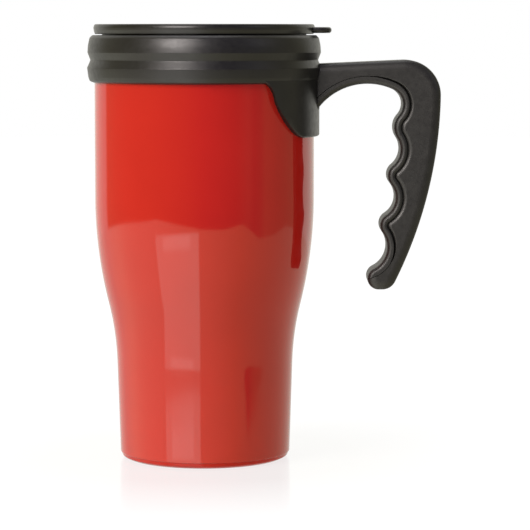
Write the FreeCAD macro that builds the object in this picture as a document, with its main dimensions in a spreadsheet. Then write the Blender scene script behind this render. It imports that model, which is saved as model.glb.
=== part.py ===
import FreeCAD, Part
import Sketcher
import math
import operator
import os

# Insulated travel mug with a handle and a rotating drinking lid, in millimetres.
# The origin is the centre of the foot, +Z is up, and the handle lies along +X.

SIZES = {
    # red shell, from the foot up
    "foot_radius": 33.76,
    "wall_foot_height": 2.3,
    "waist_radius": 34.98,
    "waist_height": 38.6,
    "flare_radius": 172.0,
    "flare_height": 103.8,
    "body_radius": 43.43,
    "shell_top_height": 156.5,
    "shell_wall": 2.2,
    # base cap
    "pad_radius": 16.0,
    "recess_radius": 28.0,
    "recess_depth": 1.2,
    "rest_radius": 31.2,
    "cap_radius": 33.4,
    "cap_floor_height": 3.4,
    "spigot_radius": 31.45,
    "spigot_wall": 2.0,
    "spigot_top_height": 8.0,
    # steel liner and the foam around it
    "liner_inset": 5.55,
    "liner_wall": 0.6,
    "liner_floor_height": 6.0,
    "liner_corner": 6.0,
    "flange_radius": 43.0,
    "foam_gap": 0.2,
    "seal_bore": 39.0,
    "seal_thickness": 1.0,
    # rim collar
    "skirt_clearance": 0.07,
    "collar_bottom_height": 149.4,
    "collar_bottom_radius": 43.9,
    "lower_ridge_foot_height": 151.7,
    "lower_ridge_foot_radius": 45.83,
    "lower_ridge_height": 155.1,
    "lower_ridge_radius": 46.3,
    "groove_height": 158.2,
    "groove_radius": 45.0,
    "upper_ridge_height": 161.2,
    "upper_ridge_radius": 46.12,
    "shoulder_height": 166.9,
    "shoulder_radius": 45.25,
    "collar_top_height": 168.0,
    "collar_top_radius": 44.05,
    "upper_ridge_swell": 34.0,
    "collar_edge_round": 1.35,
    "ridge_round": 0.5,
    "groove_round": 0.9,
    "lid_bore_radius": 38.4,
    "lid_seat_height": 165.4,
    "lid_seat_radius": 41.2,
    # apron under the collar, beside the handle
    "apron_radius": 45.55,
    "apron_low_height": 128.3,
    "apron_corner_reach": 39.4,
    "apron_side_reach": 37.2,
    "apron_side_height": 129.5,
    "apron_flare_reach": 28.75,
    "apron_flare_height": 143.0,
    "apron_top_reach": 24.4,
    "apron_side_curve": 34.0,
    "apron_flare_curve": 9.0,
    "apron_block_reach": 60.0,
    "trim_radius": 90.0,
    "trim_margin": 14.0,
    # handle, in side view
    "handle_half_width": 9.5,
    "root_reach": 44.0,
    "root_fit": 0.05,
    "arm_top_height": 156.75,
    "handle_reach": 93.2,
    "elbow_radius": 14.0,
    "elbow_height": 144.3,
    "back_curve": 171.0,
    "tail_reach": 74.15,
    "tail_corner": 3.0,
    "arch_reach": 64.3,
    "arch_height": 124.72,
    "arch_radius": 24.21,
    "elbow_hollow": 6.43,
    "bump_a_reach": 81.97,
    "bump_a_height": 131.72,
    "bump_a_radius": 7.23,
    "hollow_a": 8.36,
    "bump_b_reach": 77.49,
    "bump_b_height": 112.71,
    "bump_b_radius": 5.11,
    "hollow_b": 8.29,
    "bump_c_reach": 74.25,
    "bump_c_height": 93.1,
    "bump_c_radius": 4.8,
    "hollow_c_reach": 62.636,
    "hollow_c_height": 84.536,
    "tip_reach": 68.97,
    "tip_height": 72.03,
    "tip_radius": 4.39,
    "back_round": 2.6,
    "grip_round": 2.4,
    "seam_round": 0.5,
    # handle, inside
    "inlay_depth": 3.0,
    "inlay_gap": 0.05,
    "tongue_depth": 1.2,
    "handle_wall": 2.4,
    "side_wall": 2.2,
    "hollow_start_reach": 58.0,
    "hollow_end_height": 80.0,
    "hollow_end_reach": 76.1,
    "fit_gap": 0.1,
    # handle screws
    "screw_height": 152.4,
    "screw_offset": 4.6,
    "screw_radius": 1.5,
    "screw_head_radius": 2.5,
    "screw_head_height": 1.4,
    "screw_head_reach": 40.5,
    "screw_end_reach": 54.0,
    "screw_gap": 0.06,
    "screw_point_share": 0.33,
    "socket_width_share": 0.5,
    "socket_depth_share": 0.6,
    "hole_start_reach": 30.0,
    "hole_length": 30.0,
    "head_gap": 0.4,
    # lid plug
    "plug_flange_radius": 41.0,
    "plug_plate": 2.4,
    "plug_upper_radius": 38.1,
    "plug_step_height": 157.6,
    "plug_lower_radius": 36.9,
    "plug_bottom_height": 146.0,
    "plug_upper_wall": 2.5,
    "plug_lower_wall": 3.1,
    "gasket_low_height": 150.0,
    "gasket_high_height": 154.0,
    "gasket_groove_radius": 35.3,
    "gasket_lip_radius": 37.2,
    "gasket_band": 0.85,
    "gasket_lip": 0.9,
    "gasket_lip_pitch": 1.8,
    "seal_fit": 0.05,
    "seal_lift": 0.5,
    "seal_height": 1.7,
    "seal_width": 1.7,
    "seal_edge": 1.2,
    "pivot_boss_radius": 9.0,
    "pivot_hole_radius": 4.15,
    "pivot_ring_radius": 6.2,
    "ring_section": 0.85,
    "port_radius": 31.4,
    "port_half_width": 2.8,
    "port_half_angle": 13.0,
    "port_angle": 180.0,
    "vent_radius": 1.2,
    "vent_ring_radius": 2.6,
    "vent_angle": 0.0,
    "stop_radius": 21.5,
    "stop_groove_half_width": 1.5,
    "stop_groove_depth": 1.2,
    "stop_angle": 60.0,
    # rotating closure
    "turn_angle": 45.0,
    "disc_underside_height": 168.4,
    "disc_foot_radius": 43.2,
    "disc_radius": 43.75,
    "disc_edge_height": 171.3,
    "disc_top_height": 172.3,
    "disc_edge_round": 0.9,
    "disc_rim_width": 2.6,
    "disc_floor_height": 170.4,
    "slot_growth": 0.4,
    "slot_lip": 1.1,
    "slot_lip_height": 0.5,
    "dust_rib_radius": 40.4,
    "dust_rib_width": 1.2,
    "dust_rib_gap": 0.07,
    "hub_radius": 4.0,
    "hub_bottom_height": 165.2,
    "stop_peg_radius": 1.3,
    "stop_peg_depth": 1.5,
    "tab_inner_reach": 39.0,
    "tab_reach": 50.2,
    "tab_half_width": 8.6,
    "tab_corner": 4.5,
    "tab_low_height": 168.8,
    "tab_thickness": 2.4,
    "tab_round": 1.1,
    "washer_radius": 7.5,
    "washer_thickness": 0.8,
    "pivot_screw_radius": 1.5,
    "pivot_screw_head_radius": 3.2,
    "pivot_screw_head_height": 1.7,
    "pivot_screw_end_height": 169.0,
    "pivot_pilot_end_height": 169.3,
}

LEFT = 1
RIGHT = -1
NEAR = 0.02
VIEW_PLANES = {"side": "XZ_Plane", "plan": "XY_Plane", "front": "YZ_Plane"}
OPERATIONS = {"+": operator.add, "-": operator.sub, "*": operator.mul, "/": operator.truediv}


class Length:
    """A size that knows its value now and the sheet expression that drives it."""

    def __init__(self, value, text):
        self.value = float(value)
        self.text = text

    def __add__(self, other):
        return combine(self, "+", other)

    def __sub__(self, other):
        return combine(self, "-", other)

    def __mul__(self, other):
        return combine(self, "*", other)

    def __truediv__(self, other):
        return combine(self, "/", other)

    def __neg__(self):
        return combine(0, "-", self)


def as_length(number):
    return number if isinstance(number, Length) else Length(number, str(number))


def combine(first, sign, second):
    first = as_length(first)
    second = as_length(second)
    value = OPERATIONS[sign](first.value, second.value)
    return Length(value, f"({first.text} {sign} {second.text})")


class Sheet:
    """The driving sizes: sheet.alias is that cell as a Length."""

    def __init__(self, document, sizes):
        self.sizes = sizes
        cells = document.addObject("Spreadsheet::Sheet", "Sizes")
        for row, (alias, value) in enumerate(sizes.items(), start=1):
            cells.set(f"A{row}", alias)
            cells.set(f"B{row}", str(value))
            cells.setAlias(f"B{row}", alias)

    def __getattr__(self, alias):
        return Length(self.sizes[alias], f"Sizes.{alias}")


class Corner:
    """One corner of an outline and the edge that leaves it.

    A Length is driven from the sheet. A plain number is only a first guess, which
    tangency settles. bend is the radius of a leaving arc, which turns LEFT or RIGHT,
    and smooth means that the two edges meet without a kink.
    """

    def __init__(self, x, y, bend=None, turn=LEFT, centre=None, smooth=False):
        self.x = x
        self.y = y
        self.bend = bend
        self.turn = turn
        self.centre = centre
        self.smooth = smooth


DOCUMENT = FreeCAD.newDocument("TravelMug")
sheet = Sheet(DOCUMENT, SIZES)
DOCUMENT.recompute()
NODES = []


def number(value):
    return value.value if isinstance(value, Length) else value


def new_body(label):
    body = DOCUMENT.addObject("PartDesign::Body", label)
    body.Label = label
    NODES.append(body)
    return body


def new_sketch(body, name, view, lift=None):
    """A sketch on one of the body's origin planes, raised along its normal by lift."""
    sketch = body.newObject("Sketcher::SketchObject", name)
    for plane in body.Origin.OriginFeatures:
        if plane.Role == VIEW_PLANES[view]:
            sketch.AttachmentSupport = (plane, [""])
    sketch.MapMode = "FlatFace"
    if lift is not None:
        sketch.AttachmentOffset = FreeCAD.Placement(
            FreeCAD.Vector(0, 0, lift.value), FreeCAD.Rotation())
        sketch.setExpression("AttachmentOffset.Base.z", lift.text)
    return sketch


def drive(sketch, kind, edge, point, size):
    """Hold one size of an edge at what the sheet says."""
    place = [edge] if point is None else [edge, point]
    index = sketch.addConstraint(Sketcher.Constraint(kind, *place, size.value))
    if "Sizes." in size.text:
        name = f"{kind}_{edge}_{point or 0}"
        sketch.renameConstraint(index, name)
        sketch.setExpression(f"Constraints.{name}", size.text)


def arc_centre(start, end, radius, turn):
    """Centre of the arc of at most half a turn between two points."""
    run = (end[0] - start[0], end[1] - start[1])
    chord = math.hypot(*run)
    rise = math.sqrt(max(radius ** 2 - chord ** 2 / 4, 0))
    across = (-run[1] / chord * turn, run[0] / chord * turn)
    middle = ((start[0] + end[0]) / 2, (start[1] + end[1]) / 2)
    return middle[0] + across[0] * rise, middle[1] + across[1] * rise


def add_edge(sketch, corner, following):
    """Draw one line or arc; the result is its index and its first and last point."""
    start = (number(corner.x), number(corner.y))
    end = (number(following.x), number(following.y))
    if corner.bend is None:
        line = Part.LineSegment(FreeCAD.Vector(*start, 0), FreeCAD.Vector(*end, 0))
        return sketch.addGeometry(line, False), 1, 2
    radius = number(corner.bend)
    if corner.centre:
        middle = (number(corner.centre[0]), number(corner.centre[1]))
    else:
        middle = arc_centre(start, end, radius, corner.turn)
    angles = [math.atan2(p[1] - middle[1], p[0] - middle[0]) for p in (start, end)]
    if corner.turn == RIGHT:
        angles.reverse()
    circle = Part.Circle(FreeCAD.Vector(*middle, 0), FreeCAD.Vector(0, 0, 1), radius)
    edge = sketch.addGeometry(Part.ArcOfCircle(circle, *angles), False)
    return (edge, 1, 2) if corner.turn == LEFT else (edge, 2, 1)


def draw(sketch, corners):
    """Draw a closed outline through the corners and drive it from the sheet."""
    edges = []
    for index, corner in enumerate(corners):
        edges.append(add_edge(sketch, corner, corners[(index + 1) % len(corners)]))
    for index, corner in enumerate(corners):
        last, _, last_end = edges[index - 1]
        edge, first_end, _ = edges[index]
        kind = "Tangent" if corner.smooth else "Coincident"
        sketch.addConstraint(Sketcher.Constraint(kind, last, last_end, edge, first_end))
        if isinstance(corner.x, Length):
            drive(sketch, "DistanceX", edge, first_end, corner.x)
        if isinstance(corner.y, Length):
            drive(sketch, "DistanceY", edge, first_end, corner.y)
        if isinstance(corner.bend, Length):
            drive(sketch, "Radius", edge, None, corner.bend)
        if corner.centre and isinstance(corner.centre[0], Length):
            drive(sketch, "DistanceX", edge, 3, corner.centre[0])
            drive(sketch, "DistanceY", edge, 3, corner.centre[1])


def draw_circle(sketch, x, y, radius):
    centre = FreeCAD.Vector(x.value, y.value, 0)
    circle = Part.Circle(centre, FreeCAD.Vector(0, 0, 1), radius.value)
    edge = sketch.addGeometry(circle, False)
    drive(sketch, "DistanceX", edge, 3, x)
    drive(sketch, "DistanceY", edge, 3, y)
    drive(sketch, "Radius", edge, None, radius)


def backwards(corners):
    """The same open run of corners, walked the other way."""
    run = []
    for index in reversed(range(len(corners))):
        here = corners[index]
        entering = corners[index - 1] if index else Corner(0, 0)
        run.append(Corner(here.x, here.y, entering.bend, -entering.turn,
                          entering.centre, here.smooth))
    return run


def box_outline(left, low, right, high):
    return [Corner(left, low), Corner(right, low), Corner(right, high), Corner(left, high)]


def turn_about_z(body, kind, name, corners):
    """Revolve (add) or Groove (cut) a side-view outline about the mug's axis."""
    sketch = new_sketch(body, f"{name}_outline", "side")
    draw(sketch, corners)
    feature = body.newObject(f"PartDesign::{kind}", name)
    feature.Profile = sketch
    feature.ReferenceAxis = (sketch, ["V_Axis"])
    feature.Angle = 360
    body.Tip = feature
    return feature


def extrude(body, kind, name, sketch, length, both_ways=False, reverse=False):
    """Pad (add) or Pocket (cut) a sketch by a driven length."""
    feature = body.newObject(f"PartDesign::{kind}", name)
    feature.Profile = sketch
    feature.Type = "Length"
    feature.SideType = "Symmetric" if both_ways else "One side"
    feature.Reversed = reverse
    feature.Length = length.value
    feature.setExpression("Length", length.text)
    body.Tip = feature
    return feature


def edge_names(shape, wanted):
    return [f"Edge{n}" for n, edge in enumerate(shape.Edges, start=1) if wanted(edge)]


def round_edges(body, name, wanted, radius):
    """Fillet the edges of the body's last feature that the test picks out."""
    DOCUMENT.recompute()
    base = body.Tip
    names = edge_names(base.Shape, wanted)
    fillet = body.newObject("PartDesign::Fillet", name)
    fillet.Base = (base, names)
    fillet.Radius = radius.value
    fillet.setExpression("Radius", radius.text)
    body.Tip = fillet


def ring_edge(radius, height):
    """Test for a whole circle about the mug's axis, at a radius and a height."""
    def test(edge):
        box = edge.BoundBox
        flat = box.ZLength < NEAR and abs(box.ZMin - height.value) < NEAR
        return flat and abs(box.XMax - radius.value) < NEAR
    return test


def polar(radius, angle):
    """Plan position at a driven radius and a driven angle in degrees."""
    turn = math.radians(angle.value)
    return (Length(radius.value * math.cos(turn), f"({radius.text} * cos({angle.text} * 1 deg))"),
            Length(radius.value * math.sin(turn), f"({radius.text} * sin({angle.text} * 1 deg))"))


def arc_slot(radius, half_width, angle, half_angle):
    """A slot that follows a circle about the axis and has round ends."""
    first = angle - half_angle
    last = angle + half_angle
    inner = radius - half_width
    outer = radius + half_width
    cap = half_width.value
    return [
        Corner(*polar(inner, first), bend=inner, turn=LEFT),
        Corner(*polar(inner, last), bend=cap, turn=RIGHT, smooth=True),
        Corner(*polar(outer, last), bend=outer, turn=RIGHT),
        Corner(*polar(outer, first), bend=cap, turn=RIGHT, smooth=True),
    ]


# ---- side wall of the mug ----

def wall_radius(inset, height):
    """Radius of the tapered foot of the wall, at a height below the waist."""
    taper = (sheet.waist_radius - sheet.foot_radius) / (sheet.waist_height - sheet.wall_foot_height)
    return sheet.foot_radius - inset + (height - sheet.wall_foot_height) * taper


def waist_hollow(inset):
    """First guess for the arc between foot taper and flare: its start and its radius."""
    slope = math.atan2((sheet.waist_radius - sheet.foot_radius).value,
                       (sheet.waist_height - sheet.wall_foot_height).value)
    flare = sheet.flare_radius.value - inset
    flare_x = sheet.body_radius.value - sheet.flare_radius.value
    away = (sheet.waist_radius.value - inset - flare_x,
            sheet.waist_height.value - sheet.flare_height.value)
    normal = (math.cos(slope), -math.sin(slope))
    along = normal[0] * away[0] + normal[1] * away[1]
    hollow = (away[0] ** 2 + away[1] ** 2 - flare ** 2) / (2 * (flare - along))
    centre = (away[0] + hollow * normal[0], away[1] + hollow * normal[1])
    share = flare / (flare + hollow)
    return flare_x + centre[0] * share, sheet.flare_height.value + centre[1] * share, hollow


def wall_run(inset, low, high):
    """Corners up the side wall, a set distance inside its outer face."""
    inset = as_length(inset)
    join_x, join_y, hollow = waist_hollow(inset.value)
    top_radius = sheet.body_radius - inset
    return [
        Corner(wall_radius(inset, low), low),
        Corner(sheet.waist_radius - inset, sheet.waist_height, hollow, RIGHT, smooth=True),
        Corner(join_x, join_y, sheet.flare_radius - inset, LEFT, smooth=True),
        Corner(top_radius, sheet.flare_height, smooth=True),
        Corner(top_radius, high),
    ]


def screw_holes(body, name, radius, start, length):
    """Two round holes along +X, one for each handle screw."""
    sketch = new_sketch(body, f"{name}_outline", "front", lift=start)
    for side in (sheet.screw_offset, -sheet.screw_offset):
        draw_circle(sketch, side, sheet.screw_height, radius)
    extrude(body, "Pocket", name, sketch, length, reverse=True)


def make_outer_shell():
    body = new_body("outer_shell")
    foot = sheet.wall_foot_height
    top = sheet.shell_top_height
    outside = wall_run(0, foot, top)
    inside = backwards(wall_run(sheet.shell_wall, foot, top))
    turn_about_z(body, "Revolution", "shell_wall_turned", outside + inside)
    screw_holes(body, "shell_screw_holes", sheet.screw_radius + sheet.screw_gap,
                sheet.hole_start_reach, sheet.hole_length)


def make_base_cap():
    body = new_body("base_cap")
    inner = sheet.spigot_radius - sheet.spigot_wall
    zero = as_length(0)
    turn_about_z(body, "Revolution", "cap_turned", [
        Corner(zero, zero),
        Corner(sheet.pad_radius, zero),
        Corner(sheet.pad_radius, sheet.recess_depth),
        Corner(sheet.recess_radius, sheet.recess_depth),
        Corner(sheet.recess_radius, zero),
        Corner(sheet.rest_radius, zero, sheet.wall_foot_height, LEFT),
        Corner(sheet.cap_radius, sheet.wall_foot_height),
        Corner(sheet.spigot_radius, sheet.wall_foot_height),
        Corner(sheet.spigot_radius, sheet.spigot_top_height),
        Corner(inner, sheet.spigot_top_height),
        Corner(inner, sheet.cap_floor_height),
        Corner(zero, sheet.cap_floor_height),
    ])


def cup_run(inset, floor, high):
    """Corners from the axis along a cup's floor, round its corner and up the wall."""
    low = floor + sheet.liner_corner
    run = wall_run(inset, low, high)
    run[0].smooth = True
    corner_start = run[0].x.value - sheet.liner_corner.value
    return [
        Corner(as_length(0), floor),
        Corner(corner_start, floor, sheet.liner_corner.value, LEFT, smooth=True),
    ] + run


def make_inner_liner():
    body = new_body("inner_liner")
    top = sheet.shell_top_height
    lip = top + sheet.liner_wall
    outside = cup_run(sheet.liner_inset, sheet.liner_floor_height, top)
    inside = cup_run(sheet.liner_inset + sheet.liner_wall,
                     sheet.liner_floor_height + sheet.liner_wall, lip)
    flange = [Corner(sheet.flange_radius, top), Corner(sheet.flange_radius, lip)]
    turn_about_z(body, "Revolution", "liner_drawn", outside + flange + backwards(inside))


def make_insulation_foam():
    body = new_body("insulation_foam")
    gap = sheet.foam_gap
    top = sheet.shell_top_height - gap
    floor = sheet.cap_floor_height + gap
    step = sheet.spigot_top_height + gap
    disc = sheet.spigot_radius - sheet.spigot_wall - gap
    outside = wall_run(sheet.shell_wall + gap, step, top)
    inside = cup_run(sheet.liner_inset - gap, sheet.liner_floor_height - gap, top)
    bottom = [Corner(as_length(0), floor), Corner(disc, floor), Corner(disc, step)]
    turn_about_z(body, "Revolution", "foam_poured", bottom + outside + backwards(inside))
    start = sheet.screw_head_reach - sheet.screw_head_height - gap
    screw_holes(body, "screw_head_pockets", sheet.screw_head_radius + sheet.head_gap,
                start, sheet.hole_length)


def make_liner_seal():
    body = new_body("liner_seal")
    low = sheet.shell_top_height + sheet.liner_wall
    outline = box_outline(sheet.seal_bore, low, sheet.flange_radius, low + sheet.seal_thickness)
    turn_about_z(body, "Revolution", "seal_ring", outline)


# ---- rim collar ----

def collar_face(grow):
    """Corners up the ridged outer face of the collar, moved outward by grow."""
    grow = as_length(grow)
    return [
        Corner(sheet.collar_bottom_radius + grow, sheet.collar_bottom_height,
               sheet.lower_ridge_foot_height - sheet.collar_bottom_height, LEFT),
        Corner(sheet.lower_ridge_foot_radius + grow, sheet.lower_ridge_foot_height),
        Corner(sheet.lower_ridge_radius + grow, sheet.lower_ridge_height),
        Corner(sheet.groove_radius + grow, sheet.groove_height),
        Corner(sheet.upper_ridge_radius + grow, sheet.upper_ridge_height,
               sheet.upper_ridge_swell, LEFT),
        Corner(sheet.shoulder_radius + grow, sheet.shoulder_height),
    ]


def make_rim_collar():
    body = new_body("rim_collar")
    skirt = sheet.body_radius + sheet.skirt_clearance
    ledge = sheet.shell_top_height + sheet.liner_wall + sheet.seal_thickness
    overlap = sheet.lower_ridge_foot_height

    apron = new_sketch(body, "apron_outline", "side")
    draw(apron, [
        Corner(sheet.apron_corner_reach, sheet.apron_low_height),
        Corner(sheet.apron_block_reach, sheet.apron_low_height),
        Corner(sheet.apron_block_reach, overlap),
        Corner(sheet.apron_top_reach, overlap),
        Corner(sheet.apron_top_reach, sheet.collar_bottom_height, sheet.apron_flare_curve, RIGHT),
        Corner(sheet.apron_flare_reach, sheet.apron_flare_height,
               sheet.apron_side_curve, LEFT),
        Corner(sheet.apron_side_reach, sheet.apron_side_height),
    ])
    extrude(body, "Pad", "apron_block", apron, sheet.body_radius * 2, both_ways=True)
    trim_low = sheet.apron_low_height - sheet.trim_margin
    trim_high = overlap + sheet.trim_margin
    turn_about_z(body, "Groove", "apron_outer_face", box_outline(
        sheet.apron_radius, trim_low, sheet.trim_radius, trim_high))
    turn_about_z(body, "Groove", "apron_inner_face", box_outline(
        as_length(0), trim_low, skirt, trim_high))

    ring = collar_face(0)
    ring[-1].bend = sheet.collar_edge_round
    ring += [
        Corner(sheet.collar_top_radius, sheet.collar_top_height),
        Corner(sheet.lid_seat_radius, sheet.collar_top_height),
        Corner(sheet.lid_seat_radius, sheet.lid_seat_height),
        Corner(sheet.lid_bore_radius, sheet.lid_seat_height),
        Corner(sheet.lid_bore_radius, ledge),
        Corner(skirt, ledge),
        Corner(skirt, sheet.collar_bottom_height),
    ]
    turn_about_z(body, "Revolution", "collar_ring", ring)
    for name, radius, height, size in (
            ("lower_ridge_round", sheet.lower_ridge_radius, sheet.lower_ridge_height,
             sheet.ridge_round),
            ("groove_round", sheet.groove_radius, sheet.groove_height, sheet.groove_round),
            ("upper_ridge_round", sheet.upper_ridge_radius, sheet.upper_ridge_height,
             sheet.groove_round)):
        round_edges(body, name, ring_edge(radius, height), size)
    screw_holes(body, "collar_screw_holes", sheet.screw_radius + sheet.screw_gap,
                sheet.hole_start_reach, sheet.hole_length)


# ---- handle ----

def handle_circle(name, growth):
    """Centre and radius of a handle circle from the sheet, grown by a length."""
    centre = (getattr(sheet, f"{name}_reach"), getattr(sheet, f"{name}_height"))
    return centre, getattr(sheet, f"{name}_radius") + growth


def crossing(first, first_radius, second, second_radius, side):
    """One crossing of two circles, to the LEFT or RIGHT of the line between centres."""
    gap = math.hypot(second[0] - first[0], second[1] - first[1])
    along = (first_radius ** 2 - second_radius ** 2 + gap ** 2) / (2 * gap)
    across = math.sqrt(first_radius ** 2 - along ** 2) * side
    ux, uy = (second[0] - first[0]) / gap, (second[1] - first[1]) / gap
    return first[0] + ux * along - uy * across, first[1] + uy * along + ux * across


def point_towards(centre, radius, target):
    gap = math.hypot(target[0] - centre[0], target[1] - centre[1])
    return (centre[0] + (target[0] - centre[0]) * radius / gap,
            centre[1] + (target[1] - centre[1]) * radius / gap)


def spot(centre):
    """A driven point as plain numbers."""
    return centre[0].value, centre[1].value


def tail_hollow(depth):
    """Centre and radius of the last finger hollow, which the bump above it settles."""
    bump_centre, bump_radius = handle_circle("bump_c", -depth)
    centre = (sheet.hollow_c_reach, sheet.hollow_c_height)
    return centre, math.dist(spot(centre), spot(bump_centre)) - bump_radius.value


def finger_run(depth, start_reach):
    """Corners down the finger side of the handle, a set depth inside it.

    The arm's arch comes first, then the elbow hollow, and then bumps with finger hollows
    between them. The bumps stand on driven centres and each hollow is tangent to both its
    neighbours. The last hollow has a driven centre too. The last corner is where the round
    tip of the tail begins.
    """
    depth = as_length(depth)
    centre, radius = handle_circle("arch", depth)
    rise = math.sqrt(radius.value ** 2 - (start_reach.value - centre[0].value) ** 2)
    corners = [Corner(start_reach, centre[1].value + rise, radius, RIGHT, centre)]
    before = spot(centre)
    before_radius = radius.value
    side = LEFT
    for bump_name, hollow_name in (("bump_a", "elbow_hollow"), ("bump_b", "hollow_a"),
                                   ("bump_c", "hollow_b")):
        bump_centre, bump_radius = handle_circle(bump_name, -depth)
        bump = spot(bump_centre)
        hollow = getattr(sheet, hollow_name) + depth
        # the first hollow lies inside the arch's circle, the others outside a bump's
        touch = -hollow.value if side == LEFT else hollow.value
        middle = crossing(before, before_radius + touch, bump,
                          hollow.value + bump_radius.value, side)
        corners.append(Corner(*point_towards(middle, touch, before), hollow, RIGHT, middle,
                              smooth=True))
        corners.append(Corner(*point_towards(middle, hollow.value, bump), bump_radius, LEFT,
                              bump_centre, smooth=True))
        before = bump
        before_radius = bump_radius.value
        side = RIGHT
    tail_centre, tail_radius = tail_hollow(depth)
    tip_centre, tip_radius = handle_circle("tip", -depth)
    middle = spot(tail_centre)
    corners.append(Corner(*point_towards(middle, tail_radius, before), tail_radius, RIGHT,
                          tail_centre, smooth=True))
    corners.append(Corner(*point_towards(middle, tail_radius, spot(tip_centre)),
                          tip_radius.value, LEFT, tip_centre, smooth=True))
    return corners


def seam_exit(seam):
    """Where the seam's last hollow runs out through the round tip of the tail."""
    centre, radius = handle_circle("tip", as_length(0))
    last = seam[-1]
    return crossing(spot(last.centre), last.bend, spot(centre), radius.value, RIGHT)


def back_run():
    """Corners up the back of the handle, from the tail's corner to the root of the arm."""
    elbow_x = sheet.handle_reach - sheet.elbow_radius
    tail_z = sheet.tip_height - sheet.tip_radius
    return [
        Corner((sheet.tail_reach - sheet.tail_corner).value, tail_z.value,
               sheet.tail_corner, LEFT, smooth=True),
        Corner(sheet.tail_reach, (tail_z + sheet.tail_corner).value,
               sheet.back_curve, LEFT, smooth=True),
        Corner(sheet.handle_reach.value, sheet.elbow_height.value,
               sheet.elbow_radius, LEFT, (elbow_x, sheet.elbow_height), smooth=True),
        Corner(elbow_x.value, (sheet.elbow_height + sheet.elbow_radius).value, smooth=True),
        Corner(sheet.root_reach, sheet.arm_top_height),
    ]


def curve_radius(edge):
    """Radius of a circular edge, zero for a straight one, and None for a free curve."""
    try:
        curve = edge.Curve
    except TypeError:
        return None
    return getattr(curve, "Radius", 0)


def side_face_edges(radii, keep_lines):
    """Test for edges of the flat side faces: arcs of these radii, and near-level lines."""
    half = sheet.handle_half_width.value

    def test(edge):
        box = edge.BoundBox
        if box.YLength > NEAR or abs(abs(box.YMin) - half) > NEAR:
            return False
        radius = curve_radius(edge)
        if radius is None:
            return False
        if radius == 0:
            return keep_lines and box.ZLength < box.XLength
        return any(abs(radius - size) < NEAR for size in radii)
    return test


def finger_radii(depth):
    """The radii that the finger side has at a set depth."""
    depth = as_length(depth)
    radii = [sheet.arch_radius + depth, sheet.elbow_hollow + depth,
             sheet.hollow_a + depth, sheet.hollow_b + depth]
    radii += [handle_circle(name, -depth)[1] for name in ("bump_a", "bump_b", "bump_c")]
    return [radius.value for radius in radii] + [tail_hollow(depth)[1]]


def seat_on_collar(body):
    """Cut the root so that it sits on the collar's ridges and apron with a small gap."""
    axis = as_length(0)
    below = sheet.apron_low_height - sheet.trim_margin
    face = collar_face(sheet.root_fit)
    face[0] = Corner(sheet.apron_radius + sheet.root_fit, sheet.collar_bottom_height)
    turn_about_z(body, "Groove", "collar_seat", [
        Corner(axis, below), Corner(sheet.apron_radius + sheet.root_fit, below),
    ] + face + [Corner(axis, sheet.shoulder_height)])


def make_handle_shell():
    body = new_body("handle_shell")
    seam = finger_run(sheet.inlay_depth, sheet.root_reach)[:-1]
    tip_centre, tip_radius = handle_circle("tip", as_length(0))
    tail = [
        Corner(*seam_exit(seam), tip_radius, LEFT, tip_centre),
        Corner(tip_centre[0], (tip_centre[1] - tip_radius).value, smooth=True),
    ]
    side = new_sketch(body, "handle_outline", "side")
    draw(side, seam + tail + back_run())
    extrude(body, "Pad", "handle_block", side, sheet.handle_half_width * 2, both_ways=True)
    back_radii = [radius.value for radius in (tip_radius, sheet.tail_corner,
                                              sheet.back_curve, sheet.elbow_radius)]
    round_edges(body, "back_round", side_face_edges(back_radii, True), sheet.back_round)
    round_edges(body, "seam_round", side_face_edges(finger_radii(sheet.inlay_depth), False),
                sheet.seam_round)
    seat_on_collar(body)

    elbow = (sheet.handle_reach - sheet.elbow_radius, sheet.elbow_height)
    inner_elbow = sheet.elbow_radius - sheet.handle_wall
    inside = new_sketch(body, "handle_hollow_outline", "side")
    draw(inside, [
        Corner(sheet.hollow_start_reach, sheet.hollow_end_height),
        Corner(sheet.hollow_end_reach, sheet.hollow_end_height,
               sheet.back_curve - sheet.handle_wall, LEFT),
        Corner((elbow[0] + inner_elbow).value, elbow[1].value, inner_elbow, LEFT, elbow,
               smooth=True),
        Corner(elbow[0].value, (elbow[1] + inner_elbow).value, smooth=True),
        Corner(sheet.hollow_start_reach, sheet.arm_top_height - sheet.handle_wall),
    ])
    width = (sheet.handle_half_width - sheet.side_wall) * 2
    extrude(body, "Pocket", "handle_hollow", inside, width, both_ways=True)
    screw_holes(body, "handle_screw_pilots", sheet.screw_radius + sheet.screw_gap,
                sheet.root_reach, sheet.screw_end_reach + sheet.screw_gap - sheet.root_reach)


def ended_run(depth, start_reach, end_height):
    """The finger side at a depth, cut off on its last hollow at a set height."""
    corners = finger_run(depth, start_reach)[:-1]
    centre = spot(corners[-1].centre)
    rise = end_height.value - centre[1]
    end_x = centre[0] + math.sqrt(corners[-1].bend ** 2 - rise ** 2)
    return corners + [Corner(end_x, end_height)]


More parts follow.
